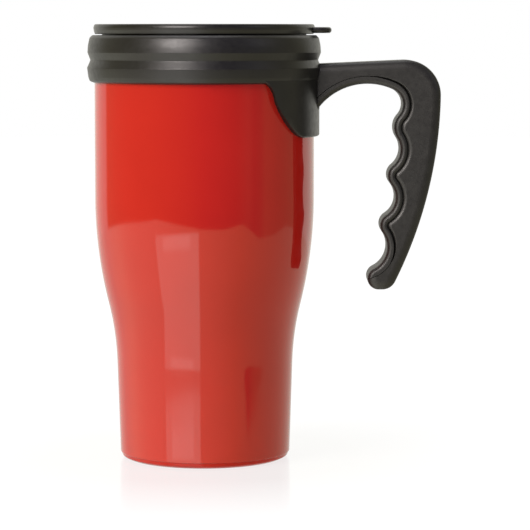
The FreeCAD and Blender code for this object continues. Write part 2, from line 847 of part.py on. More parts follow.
def make_grip_inlay():
    body = new_body("grip_inlay")
    back = finger_run(sheet.inlay_depth - sheet.inlay_gap, sheet.root_reach)[:-1]
    back.append(Corner(*seam_exit(back)))
    strip = new_sketch(body, "inlay_outline", "side")
    draw(strip, finger_run(0, sheet.root_reach) + backwards(back))
    extrude(body, "Pad", "inlay_strip", strip, sheet.handle_half_width * 2, both_ways=True)
    finger_edges = finger_radii(0) + [sheet.tip_radius.value]
    round_edges(body, "grip_round", side_face_edges(finger_edges, False), sheet.grip_round)

    start = sheet.hollow_start_reach + sheet.fit_gap
    end = sheet.hollow_end_height + sheet.fit_gap
    overlap = sheet.inlay_depth - sheet.tongue_depth
    deep = sheet.inlay_depth + sheet.tongue_depth
    tongue = new_sketch(body, "tongue_outline", "side")
    draw(tongue, ended_run(overlap, start, end) + backwards(ended_run(deep, start, end)))
    width = (sheet.handle_half_width - sheet.side_wall - sheet.fit_gap) * 2
    extrude(body, "Pad", "inlay_tongue", tongue, width, both_ways=True)
    seat_on_collar(body)


# ---- screws and rings made from solid primitives ----

def place(feature, base, along_x=False):
    """Put a primitive's base at a driven point, its axis along +Z or +X."""
    turn = FreeCAD.Rotation(FreeCAD.Vector(0, 1, 0), 90 if along_x else 0)
    start = FreeCAD.Vector(*[size.value for size in base])
    feature.Placement = FreeCAD.Placement(start, turn)
    for axis, size in zip("xyz", base):
        feature.setExpression(f"Placement.Base.{axis}", size.text)


def primitive(kind, name, sizes):
    feature = DOCUMENT.addObject(f"Part::{kind}", name)
    for size_name, size in sizes.items():
        feature.setExpression(size_name, size.text)
    return feature


def make_screw(name, start, length, radius, head_radius, head_height, along_x=False):
    """A pan-head screw with a hexagon socket and a pointed end, from its head on."""
    def at(distance):
        if along_x:
            return start[0] + distance, start[1], start[2]
        return start[0], start[1], start[2] + distance
    head = primitive("Cylinder", f"{name}_head", {"Radius": head_radius, "Height": head_height})
    place(head, at(0), along_x)
    shank = primitive("Cylinder", f"{name}_shank", {"Radius": radius, "Height": length - radius})
    place(shank, at(0), along_x)
    point = primitive("Cone", f"{name}_point", {
        "Radius1": radius, "Radius2": radius * sheet.screw_point_share, "Height": radius})
    place(point, at(length - radius), along_x)
    solid = DOCUMENT.addObject("Part::MultiFuse", f"{name}_solid")
    solid.Shapes = [head, shank, point]
    socket = primitive("Prism", f"{name}_socket", {
        "Circumradius": head_radius * sheet.socket_width_share,
        "Height": head_height * sheet.socket_depth_share})
    socket.Polygon = 6
    place(socket, at(0), along_x)
    screw = DOCUMENT.addObject("Part::Cut", name)
    screw.Base = solid
    screw.Tool = socket
    return screw


def make_handle_screws():
    start_x = sheet.screw_head_reach - sheet.screw_head_height
    length = sheet.screw_end_reach - start_x
    screws = []
    for name, side in (("screw_a", sheet.screw_offset), ("screw_b", -sheet.screw_offset)):
        screws.append(make_screw(name, (start_x, side, sheet.screw_height), length,
                                 sheet.screw_radius, sheet.screw_head_radius,
                                 sheet.screw_head_height, along_x=True))
    group = DOCUMENT.addObject("Part::Compound", "handle_screws")
    group.Links = screws
    group.Label = "handle_screws"
    NODES.append(group)


def make_ring(label, radius, x, y):
    """A round-section sealing ring lying flat, its top just under the disc."""
    ring = primitive("Torus", label, {"Radius1": radius, "Radius2": sheet.ring_section})
    place(ring, (x, y, seal_top() - sheet.ring_section))
    ring.Label = label
    NODES.append(ring)


# ---- lid ----

def plate_top():
    return sheet.lid_seat_height + sheet.plug_plate


def seal_top():
    return plate_top() + sheet.seal_lift


def port_slot(growth, angle):
    return arc_slot(sheet.port_radius, sheet.port_half_width + growth, angle,
                    sheet.port_half_angle)


def ring_groove(body, name, radius, x, y, top):
    """A round groove for a sealing ring, cut down from a flat top face."""
    sketch = new_sketch(body, f"{name}_outline", "plan", lift=top)
    half = sheet.ring_section + sheet.fit_gap
    draw_circle(sketch, x, y, radius + half)
    draw_circle(sketch, x, y, radius - half)
    depth = top - seal_top() + sheet.seal_height + sheet.seal_fit
    extrude(body, "Pocket", name, sketch, depth)


def make_lid_plug():
    body = new_body("lid_plug")
    plate_low = sheet.lid_seat_height
    upper_in = sheet.plug_upper_radius - sheet.plug_upper_wall
    lower_in = sheet.plug_lower_radius - sheet.plug_lower_wall
    turn_about_z(body, "Revolution", "plug_turned", [
        Corner(sheet.pivot_hole_radius, plate_low),
        Corner(upper_in, plate_low),
        Corner(upper_in, sheet.plug_step_height),
        Corner(lower_in, sheet.gasket_high_height),
        Corner(lower_in, sheet.plug_bottom_height),
        Corner(sheet.plug_lower_radius, sheet.plug_bottom_height),
        Corner(sheet.plug_lower_radius, sheet.gasket_low_height),
        Corner(sheet.gasket_groove_radius, sheet.gasket_low_height),
        Corner(sheet.gasket_groove_radius, sheet.gasket_high_height),
        Corner(sheet.plug_lower_radius, sheet.gasket_high_height),
        Corner(sheet.plug_lower_radius, sheet.plug_step_height),
        Corner(sheet.plug_upper_radius, sheet.plug_step_height),
        Corner(sheet.plug_upper_radius, plate_low),
        Corner(sheet.plug_flange_radius, plate_low),
        Corner(sheet.plug_flange_radius, plate_top()),
        Corner(sheet.pivot_boss_radius, plate_top()),
        Corner(sheet.pivot_boss_radius, seal_top()),
        Corner(sheet.pivot_hole_radius, seal_top()),
    ])
    port = new_sketch(body, "port_outline", "plan", lift=plate_top())
    draw(port, port_slot(0, sheet.port_angle))
    extrude(body, "Pocket", "drinking_port", port, sheet.plug_plate)
    groove = new_sketch(body, "port_seal_groove_outline", "plan", lift=plate_top())
    seal_outer = sheet.seal_edge + sheet.seal_width + sheet.seal_fit * 2
    draw(groove, port_slot(sheet.seal_edge, sheet.port_angle))
    draw(groove, port_slot(seal_outer, sheet.port_angle))
    depth = sheet.seal_height + sheet.seal_fit - sheet.seal_lift
    extrude(body, "Pocket", "port_seal_groove", groove, depth)
    vent_x, vent_y = polar(sheet.port_radius, sheet.vent_angle)
    vent = new_sketch(body, "vent_outline", "plan", lift=plate_top())
    draw_circle(vent, vent_x, vent_y, sheet.vent_radius)
    extrude(body, "Pocket", "vent_hole", vent, sheet.plug_plate)
    ring_groove(body, "vent_ring_groove", sheet.vent_ring_radius, vent_x, vent_y, plate_top())
    ring_groove(body, "pivot_ring_groove", sheet.pivot_ring_radius,
                as_length(0), as_length(0), seal_top())
    stop = new_sketch(body, "stop_groove_outline", "plan", lift=plate_top())
    draw(stop, arc_slot(sheet.stop_radius, sheet.stop_groove_half_width,
                        sheet.stop_angle + sheet.turn_angle / 2, sheet.turn_angle / 2))
    extrude(body, "Pocket", "stop_groove", stop, sheet.stop_groove_depth)


def make_lid_gasket():
    """A band in the plug's groove with two thin lips that wipe the steel mouth."""
    body = new_body("lid_gasket")
    inner = sheet.gasket_groove_radius + sheet.seal_fit
    band = inner + sheet.gasket_band
    low = sheet.gasket_low_height + sheet.seal_fit
    high = sheet.gasket_high_height - sheet.seal_fit
    half_lip = sheet.gasket_lip / 2
    first = low + half_lip
    corners = [Corner(inner, low), Corner(band, low)]
    for lip_low in (first, first + sheet.gasket_lip_pitch):
        corners += [
            Corner(band, lip_low),
            Corner(sheet.gasket_lip_radius, lip_low + half_lip),
            Corner(sheet.gasket_lip_radius, lip_low + sheet.gasket_lip),
            Corner(band, lip_low + sheet.gasket_lip),
        ]
    corners += [Corner(band, high), Corner(inner, high)]
    turn_about_z(body, "Revolution", "gasket_moulded", corners)


def make_sip_seal():
    body = new_body("sip_seal")
    sketch = new_sketch(body, "sip_seal_outline", "plan", lift=seal_top() - sheet.seal_height)
    inner = sheet.seal_edge + sheet.seal_fit
    draw(sketch, port_slot(inner, sheet.port_angle))
    draw(sketch, port_slot(inner + sheet.seal_width, sheet.port_angle))
    extrude(body, "Pad", "sip_seal_moulded", sketch, sheet.seal_height)


# ---- rotating closure ----

def tab_plan():
    """Plan outline of the thumb tab, with rounded outer corners."""
    straight = sheet.tab_reach - sheet.tab_corner
    side = sheet.tab_half_width
    flat = side - sheet.tab_corner
    return [
        Corner(sheet.tab_inner_reach, -side),
        Corner(straight, -side, sheet.tab_corner, LEFT),
        Corner(sheet.tab_reach, -flat),
        Corner(sheet.tab_reach, flat, sheet.tab_corner, LEFT),
        Corner(straight, side),
        Corner(sheet.tab_inner_reach, side),
    ]


def middle_of(edge):
    return edge.valueAt((edge.FirstParameter + edge.LastParameter) / 2)


def on_tab_edge(edge):
    """Test for the top and bottom outline edges of the tab, outside the disc."""
    outside = sheet.disc_radius + sheet.disc_edge_round
    return edge.BoundBox.ZLength < NEAR and middle_of(edge).x > outside.value


def make_closure_disc():
    body = new_body("closure_disc")
    axis = as_length(0)
    low = sheet.disc_underside_height
    rim_inner = sheet.disc_radius - sheet.disc_rim_width
    rib_inner = sheet.dust_rib_radius - sheet.dust_rib_width
    rib_low = plate_top() + sheet.dust_rib_gap
    turn_about_z(body, "Revolution", "disc_turned", [
        Corner(axis, sheet.hub_bottom_height),
        Corner(sheet.hub_radius, sheet.hub_bottom_height),
        Corner(sheet.hub_radius, low),
        Corner(rib_inner, low),
        Corner(rib_inner, rib_low),
        Corner(sheet.dust_rib_radius, rib_low),
        Corner(sheet.dust_rib_radius, low),
        Corner(sheet.disc_foot_radius, low),
        Corner(sheet.disc_radius, sheet.disc_edge_height),
        Corner(sheet.disc_radius, sheet.disc_top_height),
        Corner(rim_inner, sheet.disc_top_height),
        Corner(rim_inner, sheet.disc_floor_height),
        Corner(axis, sheet.disc_floor_height),
    ])
    for name, radius, height, size in (
            ("disc_edge_round", sheet.disc_radius, sheet.disc_top_height,
             sheet.disc_edge_round),
            ("rim_inner_round", rim_inner, sheet.disc_top_height, sheet.disc_edge_round),
            ("floor_round", rim_inner, sheet.disc_floor_height, sheet.disc_edge_round)):
        round_edges(body, name, ring_edge(radius, height), size)
    tab = new_sketch(body, "tab_outline", "plan", lift=sheet.tab_low_height)
    draw(tab, tab_plan())
    extrude(body, "Pad", "thumb_tab", tab, sheet.tab_thickness)
    round_edges(body, "tab_round", on_tab_edge, sheet.tab_round)

    slot_angle = sheet.port_angle - sheet.turn_angle
    lip = new_sketch(body, "slot_lip_outline", "plan", lift=low)
    draw(lip, port_slot(sheet.slot_growth + sheet.slot_lip, slot_angle))
    extrude(body, "Pad", "slot_lip_pad", lip,
            sheet.disc_floor_height + sheet.slot_lip_height - low)
    through = sheet.disc_top_height - low
    slot = new_sketch(body, "slot_outline", "plan", lift=sheet.disc_top_height)
    draw(slot, port_slot(sheet.slot_growth, slot_angle))
    extrude(body, "Pocket", "drinking_slot", slot, through)
    vent = new_sketch(body, "disc_vent_outline", "plan", lift=sheet.disc_top_height)
    vent_x, vent_y = polar(sheet.port_radius, sheet.vent_angle - sheet.turn_angle)
    draw_circle(vent, vent_x, vent_y, sheet.vent_radius)
    extrude(body, "Pocket", "disc_vent", vent, through)
    peg = new_sketch(body, "stop_peg_outline", "plan", lift=low - sheet.stop_peg_depth)
    draw_circle(peg, *polar(sheet.stop_radius, sheet.stop_angle), sheet.stop_peg_radius)
    extrude(body, "Pad", "stop_peg", peg,
            sheet.stop_peg_depth + sheet.disc_floor_height - sheet.disc_underside_height)
    pilot = new_sketch(body, "pivot_pilot_outline", "plan", lift=sheet.hub_bottom_height)
    draw_circle(pilot, axis, axis, sheet.pivot_screw_radius + sheet.screw_gap)
    extrude(body, "Pocket", "pivot_pilot", pilot,
            sheet.pivot_pilot_end_height - sheet.hub_bottom_height, reverse=True)


def make_pivot_washer():
    body = new_body("pivot_washer")
    low = sheet.hub_bottom_height - sheet.washer_thickness
    turn_about_z(body, "Revolution", "washer_turned", box_outline(
        sheet.pivot_screw_radius + sheet.fit_gap, low,
        sheet.washer_radius, sheet.hub_bottom_height))


def make_pivot_screw():
    low = sheet.hub_bottom_height - sheet.washer_thickness - sheet.pivot_screw_head_height
    screw = make_screw("pivot_screw", (as_length(0), as_length(0), low),
                       sheet.pivot_screw_end_height - low, sheet.pivot_screw_radius,
                       sheet.pivot_screw_head_radius, sheet.pivot_screw_head_height)
    screw.Label = "pivot_screw"
    NODES.append(screw)


# ---- whole mug ----

def make_mug():
    make_outer_shell()
    make_base_cap()
    make_inner_liner()
    make_insulation_foam()
    make_liner_seal()
    make_rim_collar()
    make_handle_shell()
    make_grip_inlay()
    make_handle_screws()
    make_lid_plug()
    make_lid_gasket()
    make_sip_seal()
    vent_x, vent_y = polar(sheet.port_radius, sheet.vent_angle)
    make_ring("vent_o_ring", sheet.vent_ring_radius, vent_x, vent_y)
    make_ring("pivot_o_ring", sheet.pivot_ring_radius, as_length(0), as_length(0))
    make_closure_disc()
    make_pivot_washer()
    make_pivot_screw()
    DOCUMENT.recompute()


def check_cut(feature):
    """A cutting feature has to leave less than it was given."""
    if not feature.isDerivedFrom("PartDesign::Feature") or feature.BaseFeature is None:
        return
    if feature.TypeId in ("PartDesign::Pocket", "PartDesign::Groove"):
        if feature.Shape.Volume >= feature.BaseFeature.Shape.Volume:
            raise RuntimeError(f"{feature.Name} cuts nothing")


def check_document():
    """Stop on any failed feature, loose sketch, empty cut or bad solid."""
    for feature in DOCUMENT.Objects:
        if "Invalid" in feature.State or "Error" in feature.State:
            raise RuntimeError(f"{feature.Name} failed")
        if feature.isDerivedFrom("Sketcher::SketchObject") and not feature.FullyConstrained:
            raise RuntimeError(f"{feature.Name} is not fully constrained")
        check_cut(feature)
    for node in NODES:
        if node.Shape.isNull() or not node.Shape.isValid():
            raise RuntimeError(f"{node.Label} has no valid shape")


def write_parts():
    os.makedirs("parts", exist_ok=True)
    for node in NODES:
        node.Shape.exportStep(os.path.join("parts", f"{node.Label}.step"))
        print(f"{node.Label}: {node.Shape.Volume:.1f} cubic mm, {len(node.Shape.Solids)} solids")


make_mug()
check_document()
write_parts()
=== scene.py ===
import bmesh
import bpy
import math
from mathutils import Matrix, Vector


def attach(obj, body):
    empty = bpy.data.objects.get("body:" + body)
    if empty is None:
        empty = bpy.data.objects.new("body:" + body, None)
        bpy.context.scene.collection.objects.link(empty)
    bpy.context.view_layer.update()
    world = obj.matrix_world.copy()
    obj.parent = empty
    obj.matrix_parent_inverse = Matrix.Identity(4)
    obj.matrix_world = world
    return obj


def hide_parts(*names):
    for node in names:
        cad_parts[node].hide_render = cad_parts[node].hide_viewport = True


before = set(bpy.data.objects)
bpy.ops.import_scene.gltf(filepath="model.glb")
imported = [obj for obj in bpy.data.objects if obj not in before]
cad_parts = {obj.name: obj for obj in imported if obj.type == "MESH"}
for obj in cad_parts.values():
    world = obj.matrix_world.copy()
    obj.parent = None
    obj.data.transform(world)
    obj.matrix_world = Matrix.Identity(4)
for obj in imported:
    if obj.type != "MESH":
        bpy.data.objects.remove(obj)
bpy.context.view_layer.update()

# Lengths are in millimetres up to add_piece(), which turns them into metres.
MM = 0.001
LATHE_STEPS = 288
SHARP_ANGLE = math.radians(32)

# red wall
FOOT_RADIUS, WALL_FOOT = 33.76, 2.3
WAIST_RADIUS, WAIST_HEIGHT = 34.98, 38.6
FLARE_RADIUS, FLARE_HEIGHT = 172.0, 103.8
BODY_RADIUS, SHELL_TOP = 43.43, 156.5
SHELL_WALL = 2.2

# collar, apron and lid
SKIRT_RADIUS = 43.5
APRON_RADIUS = 45.55
COLLAR_BOTTOM, COLLAR_TOP = 149.4, 168.0
DISC_LOW, DISC_TOP, DISC_FLOOR = 168.4, 172.3, 170.4
RIB_LOW = 167.87
DISC_RADIUS, DISC_FOOT_RADIUS = 43.75, 43.2
PORT_RADIUS, PORT_HALF_WIDTH, PORT_HALF_ANGLE = 31.4, 3.2, math.radians(13)
SLOT_ANGLE = math.radians(135)
VENT_ANGLE = math.radians(-45)

# handle in side view: x away from the mug, z up
HALF_WIDTH = 9.5
ARCH, ARCH_RADIUS = (64.3, 124.72), 24.21
ELBOW_HOLLOW = 6.43
BUMPS = (((81.97, 131.72), 7.23), ((77.49, 112.71), 5.11), ((74.25, 93.1), 4.8))
HOLLOWS = (8.36, 8.29)
TAIL_HOLLOW = (62.636, 84.536)
TIP, TIP_RADIUS = (68.97, 72.03), 4.39
ELBOW, ELBOW_RADIUS = (79.2, 144.3), 14.0
BACK_RADIUS, BACK_LEAN = 171.0, math.radians(0.81)
ARM_LEAN = math.radians(2.543)
TAIL_CORNER = 5.6
SEAM_DEPTH = 3.0
LEFT, RIGHT = 1, -1


# ---- plane geometry ----

def on_circle(centre, radius, angle):
    return centre[0] + radius * math.cos(angle), centre[1] + radius * math.sin(angle)


def heading(start, end):
    return math.atan2(end[1] - start[1], end[0] - start[0])


def crossing(first, first_radius, second, second_radius, side):
    """One crossing of two circles, to the LEFT or RIGHT of the line between centres."""
    gap = math.dist(first, second)
    along = (first_radius ** 2 - second_radius ** 2 + gap ** 2) / (2 * gap)
    across = math.sqrt(max(first_radius ** 2 - along ** 2, 0)) * side
    ux, uy = (second[0] - first[0]) / gap, (second[1] - first[1]) / gap
    return first[0] + ux * along - uy * across, first[1] + uy * along + ux * across


def swept(start, end, turn):
    """Signed angle from start to end, going LEFT (anticlockwise) or RIGHT."""
    full = 2 * math.pi
    return (end - start) % full if turn == LEFT else -((start - end) % full)


def arc(centre, radius, start, end, count, turn):
    """Points along an arc from one angle to another, the last one left out."""
    sweep = swept(start, end, turn)
    return [on_circle(centre, radius, start + sweep * i / count) for i in range(count)]


def straight(start, end, count):
    """Points along a line, the last one left out."""
    return [tuple(a + (b - a) * i / count for a, b in zip(start, end)) for i in range(count)]


def rounded(corners, closed=True):
    """Turn corners (x, y, radius) into points, with an arc of that radius at each."""
    points = []
    count = len(corners)
    for index, (x, y, radius) in enumerate(corners):
        if radius == 0 or (not closed and index in (0, count - 1)):
            points.append((x, y))
            continue
        before = Vector(corners[index - 1][:2]) - Vector((x, y))
        after = Vector(corners[(index + 1) % count][:2]) - Vector((x, y))
        half = before.angle(after) / 2
        back = radius / math.tan(half)
        middle = Vector((x, y)) + (before.normalized() + after.normalized()).normalized() \
            * (radius / math.sin(half))
        start = Vector((x, y)) + before.normalized() * back
        end = Vector((x, y)) + after.normalized() * back
        turn = LEFT if before.x * after.y - before.y * after.x < 0 else RIGHT
        steps = max(3, int((math.pi - 2 * half) / math.radians(9)))
        points += arc(middle, radius, heading(middle, start), heading(middle, end), steps, turn)
        points.append(tuple(end))
    return points


# ---- pieces ----

def add_piece(name, vertices, faces, body, nodes, slot, material, sharp=SHARP_ANGLE):
    """A mesh piece from millimetre vertices that stands for CAD nodes on one body."""
    mesh = bpy.data.meshes.new(name)
    mesh.from_pydata([tuple(c * MM for c in v) for v in vertices], [], faces)
    mesh.validate()
    tidy_mesh(mesh, sharp)
    piece = bpy.data.objects.new(name, mesh)
    bpy.context.scene.collection.objects.link(piece)
    mesh.materials.append(material)
    if nodes:
        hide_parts(*nodes)
    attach(piece, body)
    return piece


def tidy_mesh(mesh, sharp=SHARP_ANGLE):
    """Weld doubles, face outward, and shade smooth except across sharp edges."""
    work = bmesh.new()
    work.from_mesh(mesh)
    bmesh.ops.remove_doubles(work, verts=work.verts, dist=1e-7)
    bmesh.ops.dissolve_degenerate(work, edges=work.edges, dist=1e-7)
    bmesh.ops.recalc_face_normals(work, faces=work.faces)
    work.to_mesh(mesh)
    work.free()
    mesh.shade_smooth()
    mesh.set_sharp_from_angle(angle=sharp)


def lathe(profile, steps=LATHE_STEPS):
    """Vertices and faces of a closed (r, z) profile turned about the mug's axis."""
    vertices = []
    for r, z in profile:
        for step in range(steps):
            angle = 2 * math.pi * step / steps
            vertices.append((r * math.cos(angle), r * math.sin(angle), z))
    faces = []
    rows = len(profile)
    for row in range(rows):
        upper = (row + 1) % rows
        for step in range(steps):
            beside = (step + 1) % steps
            faces.append((row * steps + step, row * steps + beside,
                          upper * steps + beside, upper * steps + step))
    return vertices, faces


def turned(profile, steps=LATHE_STEPS):
    """Like lathe, for a profile whose ends lie on the axis: each end is closed by a fan."""
    inner = profile[1:-1]
    vertices, faces = lathe(inner, steps)
    faces = faces[:(len(inner) - 1) * steps]
    for end, row in ((profile[0], 0), (profile[-1], len(inner) - 1)):
        vertices.append((0.0, 0.0, end[1]))
        tip = len(vertices) - 1
        for step in range(steps):
            faces.append((tip, row * steps + step, row * steps + (step + 1) % steps))
    return vertices, faces


# ---- materials ----

class Nodes:
    """A short way to build one procedural material."""

    def __init__(self, name):
        self.material = bpy.data.materials.new(name)
        self.material.use_nodes = True
        self.tree = self.material.node_tree
        self.shader = self.tree.nodes["Principled BSDF"]
        self.place = self.add("ShaderNodeTexCoord").outputs["Object"]

    def add(self, kind, **settings):
        node = self.tree.nodes.new(kind)
        for key, value in settings.items():
            setattr(node, key, value)
        return node

    def link(self, output, target):
        self.tree.links.new(output, target)

    def noise(self, size, detail=3.0, roughness=0.55, stretch=(1, 1, 1)):
        """Noise with features of about that size in millimetres."""
        mapping = self.add("ShaderNodeMapping")
        self.link(self.place, mapping.inputs["Vector"])
        mapping.inputs["Scale"].default_value = stretch
        node = self.add("ShaderNodeTexNoise")
        node.inputs["Scale"].default_value = 1 / (size * MM)
        node.inputs["Detail"].default_value = detail
        node.inputs["Roughness"].default_value = roughness
        self.link(mapping.outputs["Vector"], node.inputs["Vector"])
        return node.outputs["Fac"]

    def ramp(self, source, stops):
        """Colour ramp with (position, colour) stops."""
        node = self.add("ShaderNodeValToRGB")
        ramp = node.color_ramp
        while len(ramp.elements) < len(stops):
            ramp.elements.new(0.5)
        for element, (position, colour) in zip(ramp.elements, stops):
            element.position = position
            element.color = (*colour, 1)
        self.link(source, node.inputs["Fac"])
        return node.outputs["Color"]

    def spread(self, source, low, high):
        """Map noise, which lies mostly between 0.3 and 0.7, onto a range."""
        node = self.add("ShaderNodeMapRange")
        node.inputs["From Min"].default_value = 0.3
        node.inputs["From Max"].default_value = 0.7
        node.inputs["To Min"].default_value = low
        node.inputs["To Max"].default_value = high
        self.link(source, node.inputs["Value"])
        return node.outputs["Result"]

    def bump(self, *layers):
        """Stack bumps: each layer is (source, height in millimetres)."""
        normal = None
        for source, height in layers:
            node = self.add("ShaderNodeBump")
            node.inputs["Strength"].default_value = 1.0
            node.inputs["Distance"].default_value = height * MM
            self.link(source, node.inputs["Height"])
            if normal:
                self.link(normal, node.inputs["Normal"])
            normal = node.outputs["Normal"]
        self.link(normal, self.shader.inputs["Normal"])

    def set(self, **values):
        for key, value in values.items():
            self.shader.inputs[key.replace("_", " ")].default_value = value

    def mix_colour(self, factor, first, second):
        node = self.add("ShaderNodeMix", data_type="RGBA")
        self.link(factor, node.inputs["Factor"])
        for socket, value in ((node.inputs[6], first), (node.inputs[7], second)):
            if isinstance(value, tuple):
                socket.default_value = (*value, 1)
            else:
                self.link(value, socket)
        return node.outputs[2]


def red_plastic(name="red_gloss_plastic", specular=0.5):
    m = Nodes(name)
    cloud = m.noise(38, detail=2)
    m.link(m.ramp(cloud, [(0.3, (0.60, 0.0150, 0.0090)), (0.7, (0.64, 0.0175, 0.0102))]),
           m.shader.inputs["Base Color"])
    m.link(m.spread(m.noise(9, detail=4), 0.045, 0.075), m.shader.inputs["Roughness"])
    m.bump((m.noise(17, detail=1), 0.035), (m.noise(2.2, detail=2), 0.0012))
    m.set(IOR=1.5, Specular_IOR_Level=specular)
    return m.material


def black_plastic(name, shade, rough, grain_height, grain_size=0.42, tint=(0.90, 0.88, 0.97)):
    m = Nodes(name)
    grain = m.noise(grain_size, detail=3, roughness=0.6)
    blotch = m.noise(6, detail=3)
    dark = tuple(c * 0.85 for c in shade)
    light = tuple(c * 1.18 for c in shade)
    base = m.ramp(blotch, [(0.3, dark), (0.7, light)])
    speck = m.ramp(grain, [(0.35, (0.8, 0.8, 0.8)), (0.7, (1.2, 1.2, 1.2))])
    mixed = m.add("ShaderNodeMix", data_type="RGBA", blend_type="MULTIPLY")
    mixed.inputs["Factor"].default_value = 1.0
    m.link(base, mixed.inputs[6])
    m.link(speck, mixed.inputs[7])
    m.link(mixed.outputs[2], m.shader.inputs["Base Color"])
    m.link(m.spread(m.noise(1.7, detail=4), rough - 0.05, rough + 0.06),
           m.shader.inputs["Roughness"])
    m.bump((grain, grain_height), (m.noise(3.5, detail=2), grain_height * 0.8))
    m.set(IOR=1.5, Specular_Tint=(*tint, 1.0))
    return m.material


def steel():
    m = Nodes("spun_steel")
    lines = m.noise(0.35, detail=2, stretch=(0.02, 0.02, 1))
    m.link(m.ramp(m.noise(14), [(0.3, (0.55, 0.55, 0.56)), (0.7, (0.66, 0.66, 0.66))]),
           m.shader.inputs["Base Color"])
    m.link(m.spread(lines, 0.2, 0.38), m.shader.inputs["Roughness"])
    m.bump((lines, 0.004))
    m.set(Metallic=1.0)
    return m.material


def silicone():
    m = Nodes("grey_silicone")
    m.link(m.ramp(m.noise(4), [(0.3, (0.30, 0.30, 0.31)), (0.7, (0.38, 0.38, 0.39))]),
           m.shader.inputs["Base Color"])
    m.link(m.spread(m.noise(1.2), 0.42, 0.58), m.shader.inputs["Roughness"])
    m.bump((m.noise(0.5), 0.008))
    return m.material


def foam():
    m = Nodes("cream_foam")
    cells = m.add("ShaderNodeTexVoronoi")
    cells.inputs["Scale"].default_value = 1 / (0.9 * MM)
    m.link(m.place, cells.inputs["Vector"])
    m.link(m.ramp(cells.outputs["Distance"], [(0.1, (0.62, 0.56, 0.40)), (0.8, (0.82, 0.78, 0.64))]),
           m.shader.inputs["Base Color"])
    m.link(m.spread(m.noise(3), 0.75, 0.95), m.shader.inputs["Roughness"])
    m.bump((cells.outputs["Distance"], 0.1))
    return m.material


def plated_steel():
    m = Nodes("plated_screw_steel")
    m.link(m.ramp(m.noise(1.5), [(0.3, (0.45, 0.45, 0.47)), (0.7, (0.60, 0.60, 0.61))]),
           m.shader.inputs["Base Color"])
    m.link(m.spread(m.noise(0.8), 0.24, 0.40), m.shader.inputs["Roughness"])
    m.bump((m.noise(0.3), 0.003))
    m.set(Metallic=1.0)
    return m.material


def white_washer():
    m = Nodes("white_washer_plastic")
    m.link(m.ramp(m.noise(3), [(0.3, (0.70, 0.70, 0.66)), (0.7, (0.78, 0.78, 0.75))]),
           m.shader.inputs["Base Color"])
    m.link(m.spread(m.noise(0.9), 0.35, 0.5), m.shader.inputs["Roughness"])
    m.bump((m.noise(0.4), 0.004))
    return m.material


RED = red_plastic()
# painted shade: the foot's copy of the red plastic reflects less, standing in for the dark contact
# shadow under the mug that its reflections would otherwise not show
SHADED_FOOT_RED = red_plastic("red_plastic_foot_shade", 0.2)
BLACK = black_plastic("black_satin_plastic", (0.0092, 0.0090, 0.0088), 0.37, 0.006)
GRIP_TINT = (0.93, 0.915, 0.985)
GRIP = black_plastic("black_grained_handle", (0.0125, 0.0122, 0.0118), 0.42, 0.016, 0.60,
                     GRIP_TINT)
BANDED = black_plastic("black_soft_grip", (0.0130, 0.0127, 0.0123), 0.45, 0.013, 0.55,
                       GRIP_TINT)
LID = black_plastic("black_lid_plastic", (0.0082, 0.0080, 0.0078), 0.32, 0.004)
STEEL = steel()
SILICONE = silicone()

FINISHES = {
    "inner_liner": STEEL, "insulation_foam": foam(), "liner_seal": SILICONE,
    "handle_screws": plated_steel(), "lid_plug": LID, "lid_gasket": SILICONE,
    "sip_seal": SILICONE, "vent_o_ring": SILICONE, "pivot_o_ring": SILICONE,
    "pivot_washer": white_washer(), "pivot_screw": plated_steel(),
}


# ---- red wall and foot ----

def wall_arcs():
    """The flare and waist arcs of the wall: centres, radii and where they meet."""
    slope = math.atan2(WAIST_RADIUS - FOOT_RADIUS, WAIST_HEIGHT - WALL_FOOT)
    flare = (BODY_RADIUS - FLARE_RADIUS, FLARE_HEIGHT)
    away = (WAIST_RADIUS - flare[0], WAIST_HEIGHT - flare[1])
    normal = (math.cos(slope), -math.sin(slope))
    along = normal[0] * away[0] + normal[1] * away[1]
    hollow_radius = (away[0] ** 2 + away[1] ** 2 - FLARE_RADIUS ** 2) \
        / (2 * (FLARE_RADIUS - along))
    hollow = (WAIST_RADIUS + hollow_radius * normal[0], WAIST_HEIGHT + hollow_radius * normal[1])
    share = FLARE_RADIUS / (FLARE_RADIUS + hollow_radius)
    join = (flare[0] + (hollow[0] - flare[0]) * share, flare[1] + (hollow[1] - flare[1]) * share)
    return flare, hollow, hollow_radius, join


def wall_profile(inset):
    """Points up the wall from its foot to its top, a set distance inside the outer face."""
    flare, hollow, hollow_radius, join = wall_arcs()
    waist_angle = heading(hollow, (WAIST_RADIUS, WAIST_HEIGHT))
    join_angle = heading(hollow, join)
    points = straight((FOOT_RADIUS - inset, WALL_FOOT), (WAIST_RADIUS - inset, WAIST_HEIGHT), 10)
    points += arc(hollow, hollow_radius + inset, waist_angle, join_angle, 24, RIGHT)
    points += arc(flare, FLARE_RADIUS - inset, heading(flare, join), 0, 30, LEFT)
    points += straight((BODY_RADIUS - inset, FLARE_HEIGHT), (BODY_RADIUS - inset, SHELL_TOP), 8)
    return points + [(BODY_RADIUS - inset, SHELL_TOP)]


def make_shell():
    edge = 0.4
    outside = wall_profile(0)[1:]
    start = outside[0]
    rim = rounded([(FOOT_RADIUS - SHELL_WALL, WALL_FOOT, 0), (FOOT_RADIUS, WALL_FOOT, edge),
                   (*start, 0)], closed=False)
    inside = list(reversed(wall_profile(SHELL_WALL)))
    profile = rim + outside[1:] + inside[:-1]
    add_piece("shell_wall", *lathe(profile), "mug", ["outer_shell"], "red_shell", RED)


PAD_RADIUS, REST_RADIUS, FOOT_GROOVE = 16.0, 28.0, 1.2


